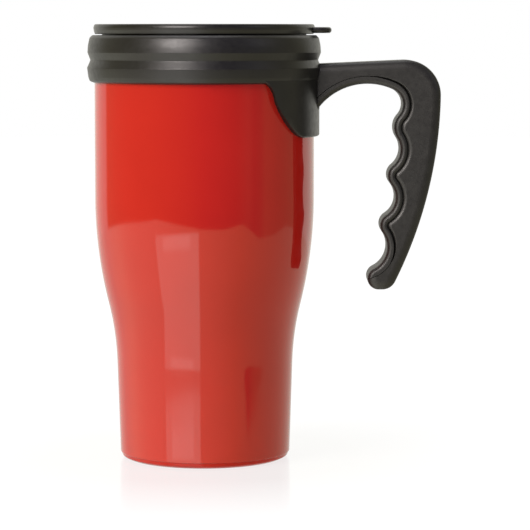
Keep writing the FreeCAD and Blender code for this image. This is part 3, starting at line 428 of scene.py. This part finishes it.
def make_foot():
    """The foot disc: a centre pad and an outer ring stand on the table, a groove between."""
    corners = [
        (0, 0, 0), (PAD_RADIUS, 0, 0.5), (PAD_RADIUS, FOOT_GROOVE, 0.4),
        (REST_RADIUS, FOOT_GROOVE, 0.4), (REST_RADIUS, 0, 0.4),
        (31.2, 0, 0.8), (33.0, 0.9, 1.2),
        (33.42, 2.28, 0), (31.45, 2.28, 0), (31.45, 8.0, 0.3), (29.45, 8.0, 0.3),
        (29.45, 3.4, 0.8), (0, 3.4, 0)]
    profile = rounded(corners, closed=False)
    # the foot takes the less reflective red copy, as painted shade from the table beneath it
    add_piece("foot_cap", *turned(profile), "mug", ["base_cap"], "red_shell", SHADED_FOOT_RED)


# ---- collar and apron ----

COLLAR_FACE = (
    (43.9, COLLAR_BOTTOM, 0.5), (45.35, 150.0, 1.1), (45.84, 151.6, 1.0), (46.32, 155.2, 0.45),
    (45.0, 158.2, 1.0), (46.14, 161.2, 0.8), (45.95, 164.0, 12.0), (45.3, 167.0, 1.6),
    (44.2, COLLAR_TOP, 0.7))
MOUTH_RADIUS, LEDGE_RADIUS = 41.2, 38.4
MOUTH_LOW, LEDGE_LOW = 165.4, 158.1


def make_collar():
    corners = list(COLLAR_FACE) + [
        (MOUTH_RADIUS, COLLAR_TOP, 0.35), (MOUTH_RADIUS, MOUTH_LOW, 0.2),
        (LEDGE_RADIUS, MOUTH_LOW, 0.3), (LEDGE_RADIUS, LEDGE_LOW, 0.3),
        (SKIRT_RADIUS, LEDGE_LOW, 0.2), (SKIRT_RADIUS, COLLAR_BOTTOM, 0.25)]
    profile = rounded(corners)
    add_piece("collar_ring", *lathe(profile), "mug", ["rim_collar"], "black_plastic", BLACK)


# the apron's outline in side view, from its front corner down, and the arcs along it
APRON_LOW, APRON_TOP = 128.3, 150.6
APRON_REACH = ((24.4, 149.9), (28.75, 143.0), (37.2, 129.5), (39.4, APRON_LOW))
APRON_FLARE, APRON_SIDE, APRON_CORNER = 9.0, 34.0, 1.0
APRON_LIP = 0.9
APRON_BACK = SKIRT_RADIUS + 0.02


def apron_edge():
    """The apron's lower edge as (angle, height), from its front corner to the middle."""
    front, flare_end, side_end, low_corner = APRON_REACH
    flare_middle = arc_middle(front, flare_end, APRON_FLARE, RIGHT)
    side_middle = arc_middle(flare_end, side_end, APRON_SIDE, LEFT)
    points = arc(flare_middle, APRON_FLARE, heading(flare_middle, front),
                 heading(flare_middle, flare_end), 14, RIGHT)
    points += arc(side_middle, APRON_SIDE, heading(side_middle, flare_end),
                  heading(side_middle, side_end), 22, LEFT)
    corner = rounded([(*side_end, 0), (*low_corner, APRON_CORNER), (45.3, APRON_LOW, 0)],
                     closed=False)
    edge = points + corner[:-1]
    turned_edge = [(math.acos(min(x / APRON_RADIUS, 1)), z) for x, z in edge]
    last = turned_edge[-1][0]
    steps = 40
    turned_edge += [(last * (1 - i / steps), APRON_LOW) for i in range(1, steps + 1)]
    return turned_edge


def arc_middle(start, end, radius, turn):
    """Centre of the arc between two points of an outline."""
    chord = math.dist(start, end)
    rise = math.sqrt(radius ** 2 - chord ** 2 / 4)
    across = ((start[1] - end[1]) / chord * turn, (end[0] - start[0]) / chord * turn)
    return ((start[0] + end[0]) / 2 + across[0] * rise, (start[1] + end[1]) / 2 + across[1] * rise)


def make_apron():
    """The saddle that hangs from the collar beside the handle, with a rounded lip."""
    half = apron_edge()
    edge = half + [(-a, z) for a, z in reversed(half[:-1])]
    steps = 7
    normals = []
    for index in range(len(edge)):
        before = edge[max(index - 1, 0)]
        after = edge[min(index + 1, len(edge) - 1)]
        run = ((after[0] - before[0]) * -APRON_RADIUS, after[1] - before[1])
        length = math.hypot(*run)
        normals.append((run[1] / length, -run[0] / length))
    rows = []
    for step in range(steps + 1):
        turn = math.pi / 2 * step / steps
        inset = APRON_LIP * (1 - math.cos(turn))
        rows.append((inset, APRON_RADIUS - APRON_LIP + APRON_LIP * math.sin(turn)))
    rows = [(0.0, APRON_BACK)] + rows
    vertices = []
    for inset, radius in rows:
        for (angle, z), (nx, nz) in zip(edge, normals):
            a = angle - nx * inset / APRON_RADIUS
            vertices.append((radius * math.cos(a), radius * math.sin(a), z - nz * inset))
    count = len(edge)
    uppers = 6
    inset_edge = [(math.atan2(v[1], v[0]), v[2]) for v in vertices[-count:]]
    for up in range(1, uppers + 1):
        for angle, z in inset_edge:
            height = z + (APRON_TOP - z) * up / uppers
            vertices.append((APRON_RADIUS * math.cos(angle),
                             APRON_RADIUS * math.sin(angle), height))
    faces = []
    for row in range(len(rows) + uppers - 1):
        for index in range(count - 1):
            a = row * count + index
            faces.append((a, a + 1, a + count + 1, a + count))
    back = len(vertices)
    for up in range(1, uppers + 1):
        for angle, z in edge:
            height = z + (APRON_TOP - z) * up / uppers
            vertices.append((APRON_BACK * math.cos(angle), APRON_BACK * math.sin(angle), height))
    for index in range(count - 1):
        faces.append((index + 1, index, back + index, back + index + 1))
        for up in range(uppers - 1):
            a = back + up * count + index
            faces.append((a + 1, a, a + count, a + count + 1))
        outer = (len(rows) + uppers - 1) * count + index
        inner = back + (uppers - 1) * count + index
        faces.append((outer, outer + 1, inner + 1, inner))
    add_piece("collar_apron", vertices, faces, "mug", [], "black_plastic", BLACK)


# ---- handle ----

def finger_arcs(depth):
    """Arcs down the finger side at a depth: (centre, radius, turn), root to tail."""
    arcs = [(ARCH, ARCH_RADIUS + depth, RIGHT)]
    first, first_radius = BUMPS[0]
    elbow_radius = ELBOW_HOLLOW + depth
    middle = crossing(ARCH, ARCH_RADIUS + depth - elbow_radius, first,
                      elbow_radius + first_radius - depth, LEFT)
    arcs.append((middle, elbow_radius, RIGHT))
    arcs.append((first, first_radius - depth, LEFT))
    for (upper, upper_radius), (lower, lower_radius), hollow in zip(BUMPS, BUMPS[1:], HOLLOWS):
        radius = hollow + depth
        middle = crossing(upper, upper_radius - depth + radius, lower,
                          lower_radius - depth + radius, RIGHT)
        arcs.append((middle, radius, RIGHT))
        arcs.append((lower, lower_radius - depth, LEFT))
    last, last_radius = BUMPS[-1]
    arcs.append((TAIL_HOLLOW, math.dist(TAIL_HOLLOW, last) - last_radius + depth, RIGHT))
    return arcs


FINGER_STEPS = (30, 14, 12, 18, 12, 18, 12, 26)


def finger_points(depths, end):
    """Points down the finger side to an end point; depths gives the depth at each point."""
    total = sum(FINGER_STEPS)
    points = []
    for index in range(total + 1):
        depth = depths[index]
        arcs = finger_arcs(depth)
        run = index
        which = 0
        while which < len(FINGER_STEPS) - 1 and run >= FINGER_STEPS[which]:
            run -= FINGER_STEPS[which]
            which += 1
        centre, radius, turn = arcs[which]
        if which == 0:
            start = math.pi - math.acos(min((centre[0] - ROOT_X) / radius, 1))
        else:
            start = heading(centre, arcs[which - 1][0])
            if arcs[which - 1][2] == turn == RIGHT:
                start += math.pi
        if which == len(arcs) - 1:
            finish = heading(centre, end)
        else:
            finish = heading(centre, arcs[which + 1][0])
            if arcs[which + 1][2] == turn == RIGHT:
                finish = heading(arcs[which + 1][0], centre) + math.pi
        sweep = swept(start, finish, turn)
        points.append(on_circle(centre, radius, start + sweep * run / FINGER_STEPS[which]))
    return points


ROOT_X, ROOT_GAP = 44.6, 0.04


def collar_radius(z):
    """Outer radius of the collar or apron at a height, where the root seats on it."""
    face = [(APRON_RADIUS, 120.0), (APRON_RADIUS, APRON_TOP)] + [c[:2] for c in COLLAR_FACE[2:]]
    for (r0, z0), (r1, z1) in zip(face, face[1:]):
        if z0 <= z <= z1:
            return r0 + (r1 - r0) * (z - z0) / (z1 - z0)
    return APRON_RADIUS


def seat_root(points, widths):
    """Keep the root's points outside the collar, each at its own distance from the middle."""
    seated = []
    for (x, z), y in zip(points, widths):
        face = math.sqrt((collar_radius(z) + ROOT_GAP) ** 2 - y ** 2)
        seated.append((max(x, face), y, z))
    return seated


def back_points(inset):
    """Points from the tail's tip round the back to the root, inset from the outline."""
    back_centre = (ELBOW[0] - (BACK_RADIUS - ELBOW_RADIUS) * math.cos(BACK_LEAN),
                   ELBOW[1] + (BACK_RADIUS - ELBOW_RADIUS) * math.sin(BACK_LEAN))
    low = TIP[1] - TIP_RADIUS
    corner_z = low + TAIL_CORNER
    corner = (back_centre[0] + math.sqrt((BACK_RADIUS - TAIL_CORNER) ** 2
                                         - (back_centre[1] - corner_z) ** 2), corner_z)
    tail_angle = heading(back_centre, corner)
    points = straight((TIP[0], low + inset), (corner[0], low + inset), 6)
    points += arc(corner, TAIL_CORNER - inset, -math.pi / 2, tail_angle, 12, LEFT)
    points += arc(back_centre, BACK_RADIUS - inset, tail_angle, -BACK_LEAN, 60, LEFT)
    top_angle = math.pi / 2 + ARM_LEAN
    points += arc(ELBOW, ELBOW_RADIUS - inset, -BACK_LEAN, top_angle, 30, LEFT)
    arm_start = on_circle(ELBOW, ELBOW_RADIUS - inset, top_angle)
    arm_end_z = arm_start[1] - (arm_start[0] - ROOT_X) * math.tan(ARM_LEAN)
    points += straight(arm_start, (ROOT_X, arm_end_z), 24)
    points.append((ROOT_X, arm_end_z))
    return points


def round_levels(inset, drop, steps=9):
    """Inset and width along an elliptical quarter round at the edge of a side face."""
    levels = []
    for step in range(steps + 1):
        turn = math.pi / 2 * step / steps
        levels.append((inset * (1 - math.cos(turn)), HALF_WIDTH - drop + drop * math.sin(turn)))
    return levels


def skin(name, loops, node, slot, material):
    """Close a stack of matching loops on one side of the middle, mirrored to the other."""
    count = len(loops[0])
    stack = [[(x, -y, z) for x, y, z in loop] for loop in reversed(loops)] + loops
    vertices = [point for loop in stack for point in loop]
    faces = []
    for level in range(len(stack) - 1):
        for index in range(count):
            beside = (index + 1) % count
            faces.append((level * count + index, level * count + beside,
                          (level + 1) * count + beside, (level + 1) * count + index))
    faces.append(tuple(range(count)))
    top = (len(stack) - 1) * count
    faces.append(tuple(top + index for index in reversed(range(count))))
    return add_piece(name, vertices, faces, "mug", [node], slot, material)


FLAT_WIDTHS = (0.6, 2.4, 4.6)
# each round: how far in from the outline, how far down from the side face
BACK_ROUND, SEAM_ROUND = (3.6, 2.2), (1.72, 1.15)
GRIP_ROUND, GRIP_SEAM = (1.7, 2.1), (1.2, 1.0)
FACE_MARGIN = 0.04
# points along the seam: flush at the root, then opening, and closing again before the tip
ROOT_FLUSH, ROOT_FADE, TIP_FLUSH, TIP_FADE = 20, 26, 9, 22
# the strip's tongue goes this far into the shell, and its edges stay this far from it
TONGUE, SEAM_GAP = 0.35, 0.005


def paired_levels(first_round, second_round):
    """(inset, width) pairs for two rounds that share the same loops."""
    levels = [((0.0, y), (0.0, y)) for y in FLAT_WIDTHS]
    levels += list(zip(round_levels(*first_round), round_levels(*second_round)))
    levels.append(((first_round[0] + FACE_MARGIN, HALF_WIDTH),
                   (second_round[0] + FACE_MARGIN, HALF_WIDTH)))
    return levels


def faded(seam, other):
    """Values down the seam that turn into another value where the seam runs out."""
    total = sum(FINGER_STEPS)
    shares = [min(max((i - ROOT_FLUSH) / ROOT_FADE, 0), max((total - TIP_FLUSH - i) / TIP_FADE, 0), 1)
              for i in range(total + 1)]
    return [seam * share + other * (1 - share) for share in shares]


def make_handle():
    """The handle's outer shell: seam face, side faces and rounded back."""
    loops = []
    for (seam_in, seam_y), (back_in, back_y) in paired_levels(SEAM_ROUND, BACK_ROUND):
        depths = [SEAM_DEPTH + inset for inset in faded(seam_in, min(back_in, 0.1))]
        tail = finger_arcs(depths[-1])[-1]
        end = crossing(tail[0], tail[1], TIP, TIP_RADIUS - back_in, RIGHT)
        seam = finger_points(depths, end)
        tip = arc(TIP, TIP_RADIUS - back_in, heading(TIP, end), -math.pi / 2, 16, LEFT)[1:]
        back = back_points(back_in)
        root = straight(back[-1], seam[0], 14)[1:]
        points = seam + tip + back + root
        widths = faded(seam_y, back_y) + [back_y] * (len(tip) + len(back) + len(root))
        loops.append(seat_root(points, widths))
    return skin("handle_outer", loops, "handle_shell", "black_plastic", GRIP)


def make_inlay():
    """The strip that lines the finger side, rounded towards the fingers and the seam."""
    total = sum(FINGER_STEPS)
    loops = []
    for (grip_in, grip_y), (seam_in, seam_y) in paired_levels(GRIP_ROUND, GRIP_SEAM):
        overlap = TONGUE if seam_y in FLAT_WIDTHS else -SEAM_GAP
        depths = [SEAM_DEPTH + overlap - inset for inset in faded(seam_in, min(seam_in, 0.1))]
        tail = finger_arcs(depths[-1])[-1]
        end = crossing(tail[0], tail[1], TIP, TIP_RADIUS - grip_in, RIGHT)
        tip_start = on_circle(TIP, TIP_RADIUS - grip_in, heading(TIP, TAIL_HOLLOW))
        finger = finger_points([grip_in] * (total + 1), tip_start)
        tip = arc(TIP, TIP_RADIUS - grip_in, heading(TIP, TAIL_HOLLOW), heading(TIP, end), 14, LEFT)
        seam = finger_points(depths, end)
        root = straight(seam[0], finger[0], 5)[1:]
        points = finger[:-1] + tip + list(reversed(seam)) + root
        widths = [grip_y] * (len(finger) - 1 + len(tip))
        widths += list(reversed(faded(seam_y, grip_y))) + [grip_y] * len(root)
        loops.append(seat_root(points, widths))
    return skin("grip_strip", loops, "grip_inlay", "black_grip", BANDED)


# ---- closure disc ----

def boolean_tool(name, vertices, faces):
    """An object that combine() uses once and removes."""
    mesh = bpy.data.meshes.new(name)
    mesh.from_pydata([tuple(c * MM for c in v) for v in vertices], [], faces)
    tool = bpy.data.objects.new(name, mesh)
    bpy.context.scene.collection.objects.link(tool)
    return tool


def cutter(name, outline, low, high):
    """A plain prism used only as a boolean tool."""
    count = len(outline)
    vertices = [(x, y, low) for x, y in outline] + [(x, y, high) for x, y in outline]
    faces = [tuple(reversed(range(count))), tuple(range(count, 2 * count))]
    faces += [(i, (i + 1) % count, count + (i + 1) % count, count + i) for i in range(count)]
    return boolean_tool(name, vertices, faces)


def kidney(growth, angle):
    """Plan outline of the curved drinking slot."""
    half = PORT_HALF_WIDTH + growth
    first, last = angle - PORT_HALF_ANGLE, angle + PORT_HALF_ANGLE
    origin = (0.0, 0.0)
    points = arc(origin, PORT_RADIUS + half, first, last, 24, LEFT)
    points += arc(on_circle(origin, PORT_RADIUS, last), half, last, last + math.pi, 16, LEFT)
    points += arc(origin, PORT_RADIUS - half, last, first, 24, RIGHT)
    points += arc(on_circle(origin, PORT_RADIUS, first), half, first + math.pi, first, 16, LEFT)
    return points


def combine(piece, tool, operation):
    """Apply one exact boolean to the piece and remove the tool."""
    modifier = piece.modifiers.new(operation, "BOOLEAN")
    modifier.operation = operation
    modifier.solver = "EXACT"
    modifier.object = tool
    graph = bpy.context.evaluated_depsgraph_get()
    result = bpy.data.meshes.new_from_object(piece.evaluated_get(graph))
    piece.modifiers.remove(modifier)
    old = piece.data
    piece.data = result
    bpy.data.meshes.remove(old)
    bpy.data.objects.remove(tool)


def slab(name, outline_of, levels):
    """A prism with shaped edges: each level is (inset, height)."""
    loops = [[(x, y, z) for x, y in outline_of(inset)] for inset, z in levels]
    count = len(loops[0])
    vertices = [point for loop in loops for point in loop]
    faces = [tuple(reversed(range(count)))]
    for level in range(len(loops) - 1):
        for i in range(count):
            j = (i + 1) % count
            faces.append((level * count + i, level * count + j,
                          (level + 1) * count + j, (level + 1) * count + i))
    faces.append(tuple((len(loops) - 1) * count + i for i in range(count)))
    return boolean_tool(name, vertices, faces)


AXIS = (0.0, 0.0)
ROUND_HOLE = 2 * math.pi - 1e-9
BOSS_RADIUS, BOSS_LOW = 4.0, 165.2
RIB_INNER, RIB_OUTER = 39.2, 40.4
RING_HEIGHT = 0.35
TAB_LOW, TAB_HIGH, TAB_ROUND = 169.85, 170.1, 1.05
LIP_WIDTH, LIP_HEIGHT, LIP_ROUND = 1.1, 0.1, 0.4
VENT_HOLE, PILOT_HOLE = 1.2, 1.56
PEG_RADIUS, PEG_REACH, PEG_ANGLE = 1.3, 21.5, math.radians(60)
UNDER_DISC, OVER_DISC = 165.0, 175.0


def tab_outline(inset):
    """Plan outline of the thumb tab, its nose corners rounded."""
    side, nose, corner = 8.6 - inset, 50.2 - inset, 4.5
    return rounded([(40.0, -side, 0), (nose, -side, corner), (nose, side, corner),
                    (40.0, side, 0)])


def make_disc():
    """The turning disc: rim, dust rib, thumb tab, lipped drinking slot, vent and pivot."""
    rim_inner = DISC_RADIUS - 2.6
    profile = rounded([
        (0, BOSS_LOW, 0), (BOSS_RADIUS, BOSS_LOW, 0.3), (BOSS_RADIUS, DISC_LOW, 0.3),
        (RIB_INNER, DISC_LOW, 0.1), (RIB_INNER, RIB_LOW, 0.1), (RIB_OUTER, RIB_LOW, 0.1),
        (RIB_OUTER, DISC_LOW, 0.1),
        (DISC_FOOT_RADIUS, DISC_LOW, 0.3), (DISC_RADIUS - 0.12, 169.9, 2.0),
        (DISC_RADIUS, 171.1, 1.2), (DISC_RADIUS - 0.5, DISC_TOP, 0.75),
        (rim_inner, DISC_TOP, 0.7), (rim_inner - 0.25, DISC_FLOOR, 0.9),
        (9.2, DISC_FLOOR, 0.3), (8.8, DISC_FLOOR + RING_HEIGHT, 0.2),
        (7.4, DISC_FLOOR + RING_HEIGHT, 0.2), (7.0, DISC_FLOOR, 0.3), (0, DISC_FLOOR, 0)],
        closed=False)
    disc = add_piece("closure_top", *turned(profile), "closure", ["closure_disc"],
                     "black_plastic", LID)
    quarter = [math.pi / 2 * i / 8 for i in range(9)]
    levels = [(TAB_ROUND * (1 - math.cos(t)), TAB_LOW - TAB_ROUND * math.sin(t))
              for t in reversed(quarter)]
    levels += [(TAB_ROUND * (1 - math.cos(t)), TAB_HIGH + TAB_ROUND * math.sin(t))
               for t in quarter]
    combine(disc, slab("tab_tool", tab_outline, levels), "UNION")
    lip_levels = [(0.0, 169.4), (0.0, DISC_FLOOR + LIP_HEIGHT)]
    lip_levels += [(LIP_ROUND * (1 - math.cos(t)),
                    DISC_FLOOR + LIP_HEIGHT + LIP_ROUND * math.sin(t))
                   for t in [math.pi / 2 * i / 6 for i in range(1, 7)]]
    combine(disc, slab("lip_tool", lambda inset: kidney(LIP_WIDTH - inset, SLOT_ANGLE),
                       lip_levels), "UNION")
    slot_levels = [(0.0, UNDER_DISC), (0.0, DISC_FLOOR + 0.2), (-0.3, DISC_FLOOR + 0.5),
                   (-0.3, OVER_DISC)]
    combine(disc, slab("slot_tool", lambda inset: kidney(-inset, SLOT_ANGLE), slot_levels),
            "DIFFERENCE")
    vent = arc(on_circle(AXIS, PORT_RADIUS, VENT_ANGLE), VENT_HOLE, 0, ROUND_HOLE, 32, LEFT)
    combine(disc, cutter("vent_tool", vent, UNDER_DISC, OVER_DISC), "DIFFERENCE")
    pilot = arc(AXIS, PILOT_HOLE, 0, ROUND_HOLE, 32, LEFT)
    combine(disc, cutter("pilot_tool", pilot, 160.0, 169.3), "DIFFERENCE")
    peg = arc(on_circle(AXIS, PEG_REACH, PEG_ANGLE), PEG_RADIUS, 0, ROUND_HOLE, 32, LEFT)
    combine(disc, cutter("peg_tool", peg, 166.9, 169.4), "UNION")
    tidy_mesh(disc.data)


# ---- studio ----

def look_at(obj, target):
    obj.rotation_mode = "QUATERNION"
    obj.rotation_quaternion = (Vector(target) - obj.location).to_track_quat("-Z", "Y")


def area_light(name, place, target, size, power, colour=(1, 1, 1), diffuse=True, glossy=True):
    data = bpy.data.lights.new(name, "AREA")
    data.shape = "RECTANGLE"
    data.size, data.size_y = size
    data.energy = power
    data.color = colour
    light = bpy.data.objects.new(name, data)
    bpy.context.scene.collection.objects.link(light)
    light.location = place
    look_at(light, target)
    light.visible_camera = False
    light.visible_diffuse = diffuse
    light.visible_glossy = glossy
    return light


FLOOR_SIZE = 3.0
FLOOR_GLOW, FLOOR_BOUNCE = 1.11, (0.55, 0.52, 0.50)
# the floor's mirror image fades out between these distances from the mug's axis, in metres
SHEEN, SHEEN_FAR, SHEEN_NEAR = 0.21, 0.155, 0.060

# what the glossy wall reflects, by degrees round the mug from the camera to the right
BACKDROP = (0.95, 0.94, 0.84)
TABLE = ((-180, (0.85, 0.85, 0.80)), (-130, (0.90, 0.90, 0.78)), (-105, (1.50, 1.48, 1.12)),
         (-60, (1.50, 1.42, 1.08)), (0, (1.10, 1.06, 0.72)), (41, (0.80, 0.76, 0.46)),
         (80, (0.75, 0.72, 0.48)), (119, (0.75, 0.73, 0.55)), (180, (0.85, 0.85, 0.80)))
ROOM = ((-180, BACKDROP), (-124.5, BACKDROP), (-122.0, (0.42, 0.38, 0.22)),
        (-60, (0.42, 0.38, 0.22)), (-20, (0.28, 0.25, 0.21)), (0, (0.17, 0.14, 0.20)),
        (35, (0.14, 0.12, 0.18)), (48, (0.25, 0.25, 0.25)), (54, (0.16, 0.15, 0.20)),
        (62, (0.22, 0.22, 0.22)), (68, (0.40, 0.38, 0.27)), (85, (0.36, 0.34, 0.24)),
        (105, (0.40, 0.38, 0.24)), (124.5, (0.40, 0.38, 0.24)), (127, BACKDROP),
        (180, BACKDROP))
CARD_LEFT, CARD_RIGHT = -52.5, -5.0
CARD_LIGHT = (2.4, 2.4, 2.0)
# sine of the elevation where the room gives way to the table, and where the card starts
TABLE_EDGE = ((-180, 0.125), (-110, 0.138), (-70, 0.143), (-50, 0.136), (-28, 0.165), (0, 0.192),
              (22, 0.190), (41, 0.160), (50, 0.185), (61, 0.215), (80, 0.190), (96, 0.148),
              (180, 0.140))
CARD_TOP, EDGE_BLUR = 0.205, 0.004
GLEAM = (-44.0, -14.0, 0.215, 0.265)
GLEAM_LIGHT = (3.1, 3.1, 2.7)
AMBIENT = (0.25, 0.24, 0.23)


def azimuth_of(tree, vector):
    """Degrees round the mug of a position or direction, zero towards the camera."""
    split = tree.nodes.new("ShaderNodeSeparateXYZ")
    tree.links.new(vector, split.inputs["Vector"])
    front = math_node(tree, "MULTIPLY", split.outputs["Y"], -1.0)
    turn = math_node(tree, "ARCTAN2", split.outputs["X"], front)
    return math_node(tree, "MULTIPLY", turn, 180 / math.pi)


def math_node(tree, operation, first, second):
    node = tree.nodes.new("ShaderNodeMath")
    node.operation = operation
    for socket, value in zip(node.inputs, (first, second)):
        if isinstance(value, (int, float)):
            socket.default_value = value
        else:
            tree.links.new(value, socket)
    return node.outputs["Value"]


def step_up(tree, value, start, end):
    """Zero below start, one above end."""
    node = tree.nodes.new("ShaderNodeMapRange")
    node.inputs["From Min"].default_value = start
    node.inputs["From Max"].default_value = end
    tree.links.new(value, node.inputs["Value"])
    return node.outputs["Result"]


def ramp_by_azimuth(tree, azimuth, stops):
    """Colours by azimuth; the ramp holds up to 1, so it is scaled and scaled back."""
    peak = max(max(colour) for _, colour in stops)
    share = step_up(tree, azimuth, -180.0, 180.0)
    node = tree.nodes.new("ShaderNodeValToRGB")
    while len(node.color_ramp.elements) < len(stops):
        node.color_ramp.elements.new(0.5)
    for element, (degrees, colour) in zip(node.color_ramp.elements, stops):
        element.position = (degrees + 180) / 360
        element.color = (*[c / peak for c in colour], 1)
    tree.links.new(share, node.inputs["Fac"])
    scale = tree.nodes.new("ShaderNodeVectorMath")
    scale.operation = "SCALE"
    scale.inputs["Scale"].default_value = peak
    tree.links.new(node.outputs["Color"], scale.inputs[0])
    return scale.outputs["Vector"]


def window(tree, azimuth, mask, left, right):
    """Limit a mask to the azimuths between left and right."""
    blur = 0.7
    mask = math_node(tree, "MULTIPLY", mask, step_up(tree, azimuth, left - blur, left + blur))
    return math_node(tree, "MULTIPLY", mask, step_up(tree, azimuth, right + blur, right - blur))


def grey_by_azimuth(tree, azimuth, stops):
    colours = ramp_by_azimuth(tree, azimuth, [(degrees, (v, v, v)) for degrees, v in stops])
    split = tree.nodes.new("ShaderNodeSeparateXYZ")
    tree.links.new(colours, split.inputs["Vector"])
    return split.outputs["X"]


def mix_node(tree, factor, first, second):
    node = tree.nodes.new("ShaderNodeMix")
    node.data_type = "RGBA"
    tree.links.new(factor, node.inputs["Factor"])
    for socket, value in ((node.inputs[6], first), (node.inputs[7], second)):
        if isinstance(value, tuple):
            socket.default_value = (*value, 1)
        else:
            tree.links.new(value, socket)
    return node.outputs[2]


def flat_mesh(name, outline, height):
    mesh = bpy.data.meshes.new(name)
    mesh.from_pydata([(x, y, height) for x, y in outline], [], [tuple(range(len(outline)))])
    flat = bpy.data.objects.new(name, mesh)
    bpy.context.scene.collection.objects.link(flat)
    return flat


def studio_floor():
    """A plain white table that shows a faint mirror image of the mug."""
    half = FLOOR_SIZE
    floor = flat_mesh("floor", [(-half, -half), (half, -half), (half, half), (-half, half)], 0.0)
    m = Nodes("white_table")
    m.set(Roughness=0.9, Specular_IOR_Level=0.0)
    m.link(m.ramp(m.noise(60), [(0.3, (0.88, 0.88, 0.88)), (0.7, (0.90, 0.90, 0.90))]),
           m.shader.inputs["Base Color"])
    path = m.add("ShaderNodeLightPath")
    shade = m.mix_colour(path.outputs["Is Camera Ray"], FLOOR_BOUNCE, (FLOOR_GLOW,) * 3)
    glow = m.add("ShaderNodeEmission")
    m.link(shade, glow.inputs["Color"])
    gloss = m.add("ShaderNodeBsdfGlossy")
    gloss.inputs["Roughness"].default_value = 0.10
    even = m.add("ShaderNodeMixShader")
    even.inputs["Fac"].default_value = 0.88
    m.link(m.shader.outputs["BSDF"], even.inputs[1])
    m.link(glow.outputs["Emission"], even.inputs[2])
    reach = m.add("ShaderNodeVectorMath", operation="LENGTH")
    m.link(m.place, reach.inputs[0])
    near = step_up(m.tree, reach.outputs["Value"], SHEEN_FAR, SHEEN_NEAR)
    sheen = m.add("ShaderNodeMixShader")
    m.link(math_node(m.tree, "MULTIPLY", near, SHEEN), sheen.inputs["Fac"])
    m.link(even.outputs["Shader"], sheen.inputs[1])
    m.link(gloss.outputs["BSDF"], sheen.inputs[2])
    m.link(sheen.outputs["Shader"], m.tree.nodes["Material Output"].inputs["Surface"])
    floor.data.materials.append(m.material)
    floor.visible_glossy = False


def studio_world():
    """White to the camera, a backdrop and a dim room to reflections, soft ambient light."""
    world = bpy.data.worlds.new("studio")
    bpy.context.scene.world = world
    world.use_nodes = True
    tree = world.node_tree
    background = tree.nodes["Background"]
    place = tree.nodes.new("ShaderNodeTexCoord")
    azimuth = azimuth_of(tree, place.outputs["Generated"])
    split = tree.nodes.new("ShaderNodeSeparateXYZ")
    tree.links.new(place.outputs["Generated"], split.inputs["Vector"])
    drop = math_node(tree, "MULTIPLY", split.outputs["Z"], -1.0)
    edge = grey_by_azimuth(tree, azimuth, TABLE_EDGE)
    below = math_node(tree, "SUBTRACT", drop, edge)
    on_table = step_up(tree, below, -EDGE_BLUR, EDGE_BLUR)
    on_card = step_up(tree, drop, CARD_TOP - EDGE_BLUR, CARD_TOP + EDGE_BLUR)
    on_card = window(tree, azimuth, on_card, CARD_LEFT, CARD_RIGHT)
    gleam = math_node(tree, "MULTIPLY", step_up(tree, drop, GLEAM[2], GLEAM[2] + EDGE_BLUR),
                      step_up(tree, drop, GLEAM[3] + EDGE_BLUR * 6, GLEAM[3]))
    gleam = window(tree, azimuth, gleam, GLEAM[0], GLEAM[1])
    table = mix_node(tree, on_card, ramp_by_azimuth(tree, azimuth, TABLE), CARD_LIGHT)
    table = mix_node(tree, gleam, table, GLEAM_LIGHT)
    room = mix_node(tree, on_table, ramp_by_azimuth(tree, azimuth, ROOM), table)
    path = tree.nodes.new("ShaderNodeLightPath")
    soft = mix_node(tree, path.outputs["Is Diffuse Ray"], room, AMBIENT)
    seen = mix_node(tree, path.outputs["Is Camera Ray"], soft, (1.0, 1.0, 1.0))
    tree.links.new(seen, background.inputs["Color"])


def studio_lights():
    middle = (0, 0, 0.1)
    area_light("key_softbox", (-1.25, -1.15, 1.15), middle, (1.0, 1.0), 33, (1.0, 0.95, 0.88),
               glossy=False)
    area_light("fill_softbox", (1.5, -0.9, 0.9), middle, (0.8, 0.8), 1.4)
    area_light("rim_strip", (-0.72, -1.42, 0.80), (0, 0, 0.15), (0.75, 0.85), 36,
               (1.0, 0.95, 0.84), diffuse=False)
    area_light("top_softbox", (-0.2, 0.1, 1.7), middle, (1.0, 1.0), 8)


CAMERA_PLACE, CAMERA_PITCH, CAMERA_LENS = (0.024, -1.0, 0.170), 5.33, 171.1


def make_camera():
    """A long lens one metre away, a little under the lid's height and looking down."""
    data = bpy.data.cameras.new("camera")
    data.sensor_width = 36.0
    data.lens = CAMERA_LENS
    data.clip_start, data.clip_end = 0.05, 20.0
    camera = bpy.data.objects.new("camera", data)
    bpy.context.scene.collection.objects.link(camera)
    camera.location = CAMERA_PLACE
    camera.rotation_euler = (math.radians(90 - CAMERA_PITCH), 0, 0)
    bpy.context.scene.camera = camera


def colour_management():
    scene = bpy.context.scene
    scene.view_settings.view_transform = "Standard"
    scene.view_settings.look = "None"
    scene.view_settings.exposure = 0.0
    scene.view_settings.gamma = 1.0


make_camera()
colour_management()
studio_floor()
studio_world()
studio_lights()

for node_name, finish in FINISHES.items():
    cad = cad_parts[node_name]
    for index in range(len(cad.data.materials)):
        cad.data.materials[index] = finish

make_shell()
make_foot()
make_collar()
make_apron()
make_handle()
make_inlay()
make_disc()
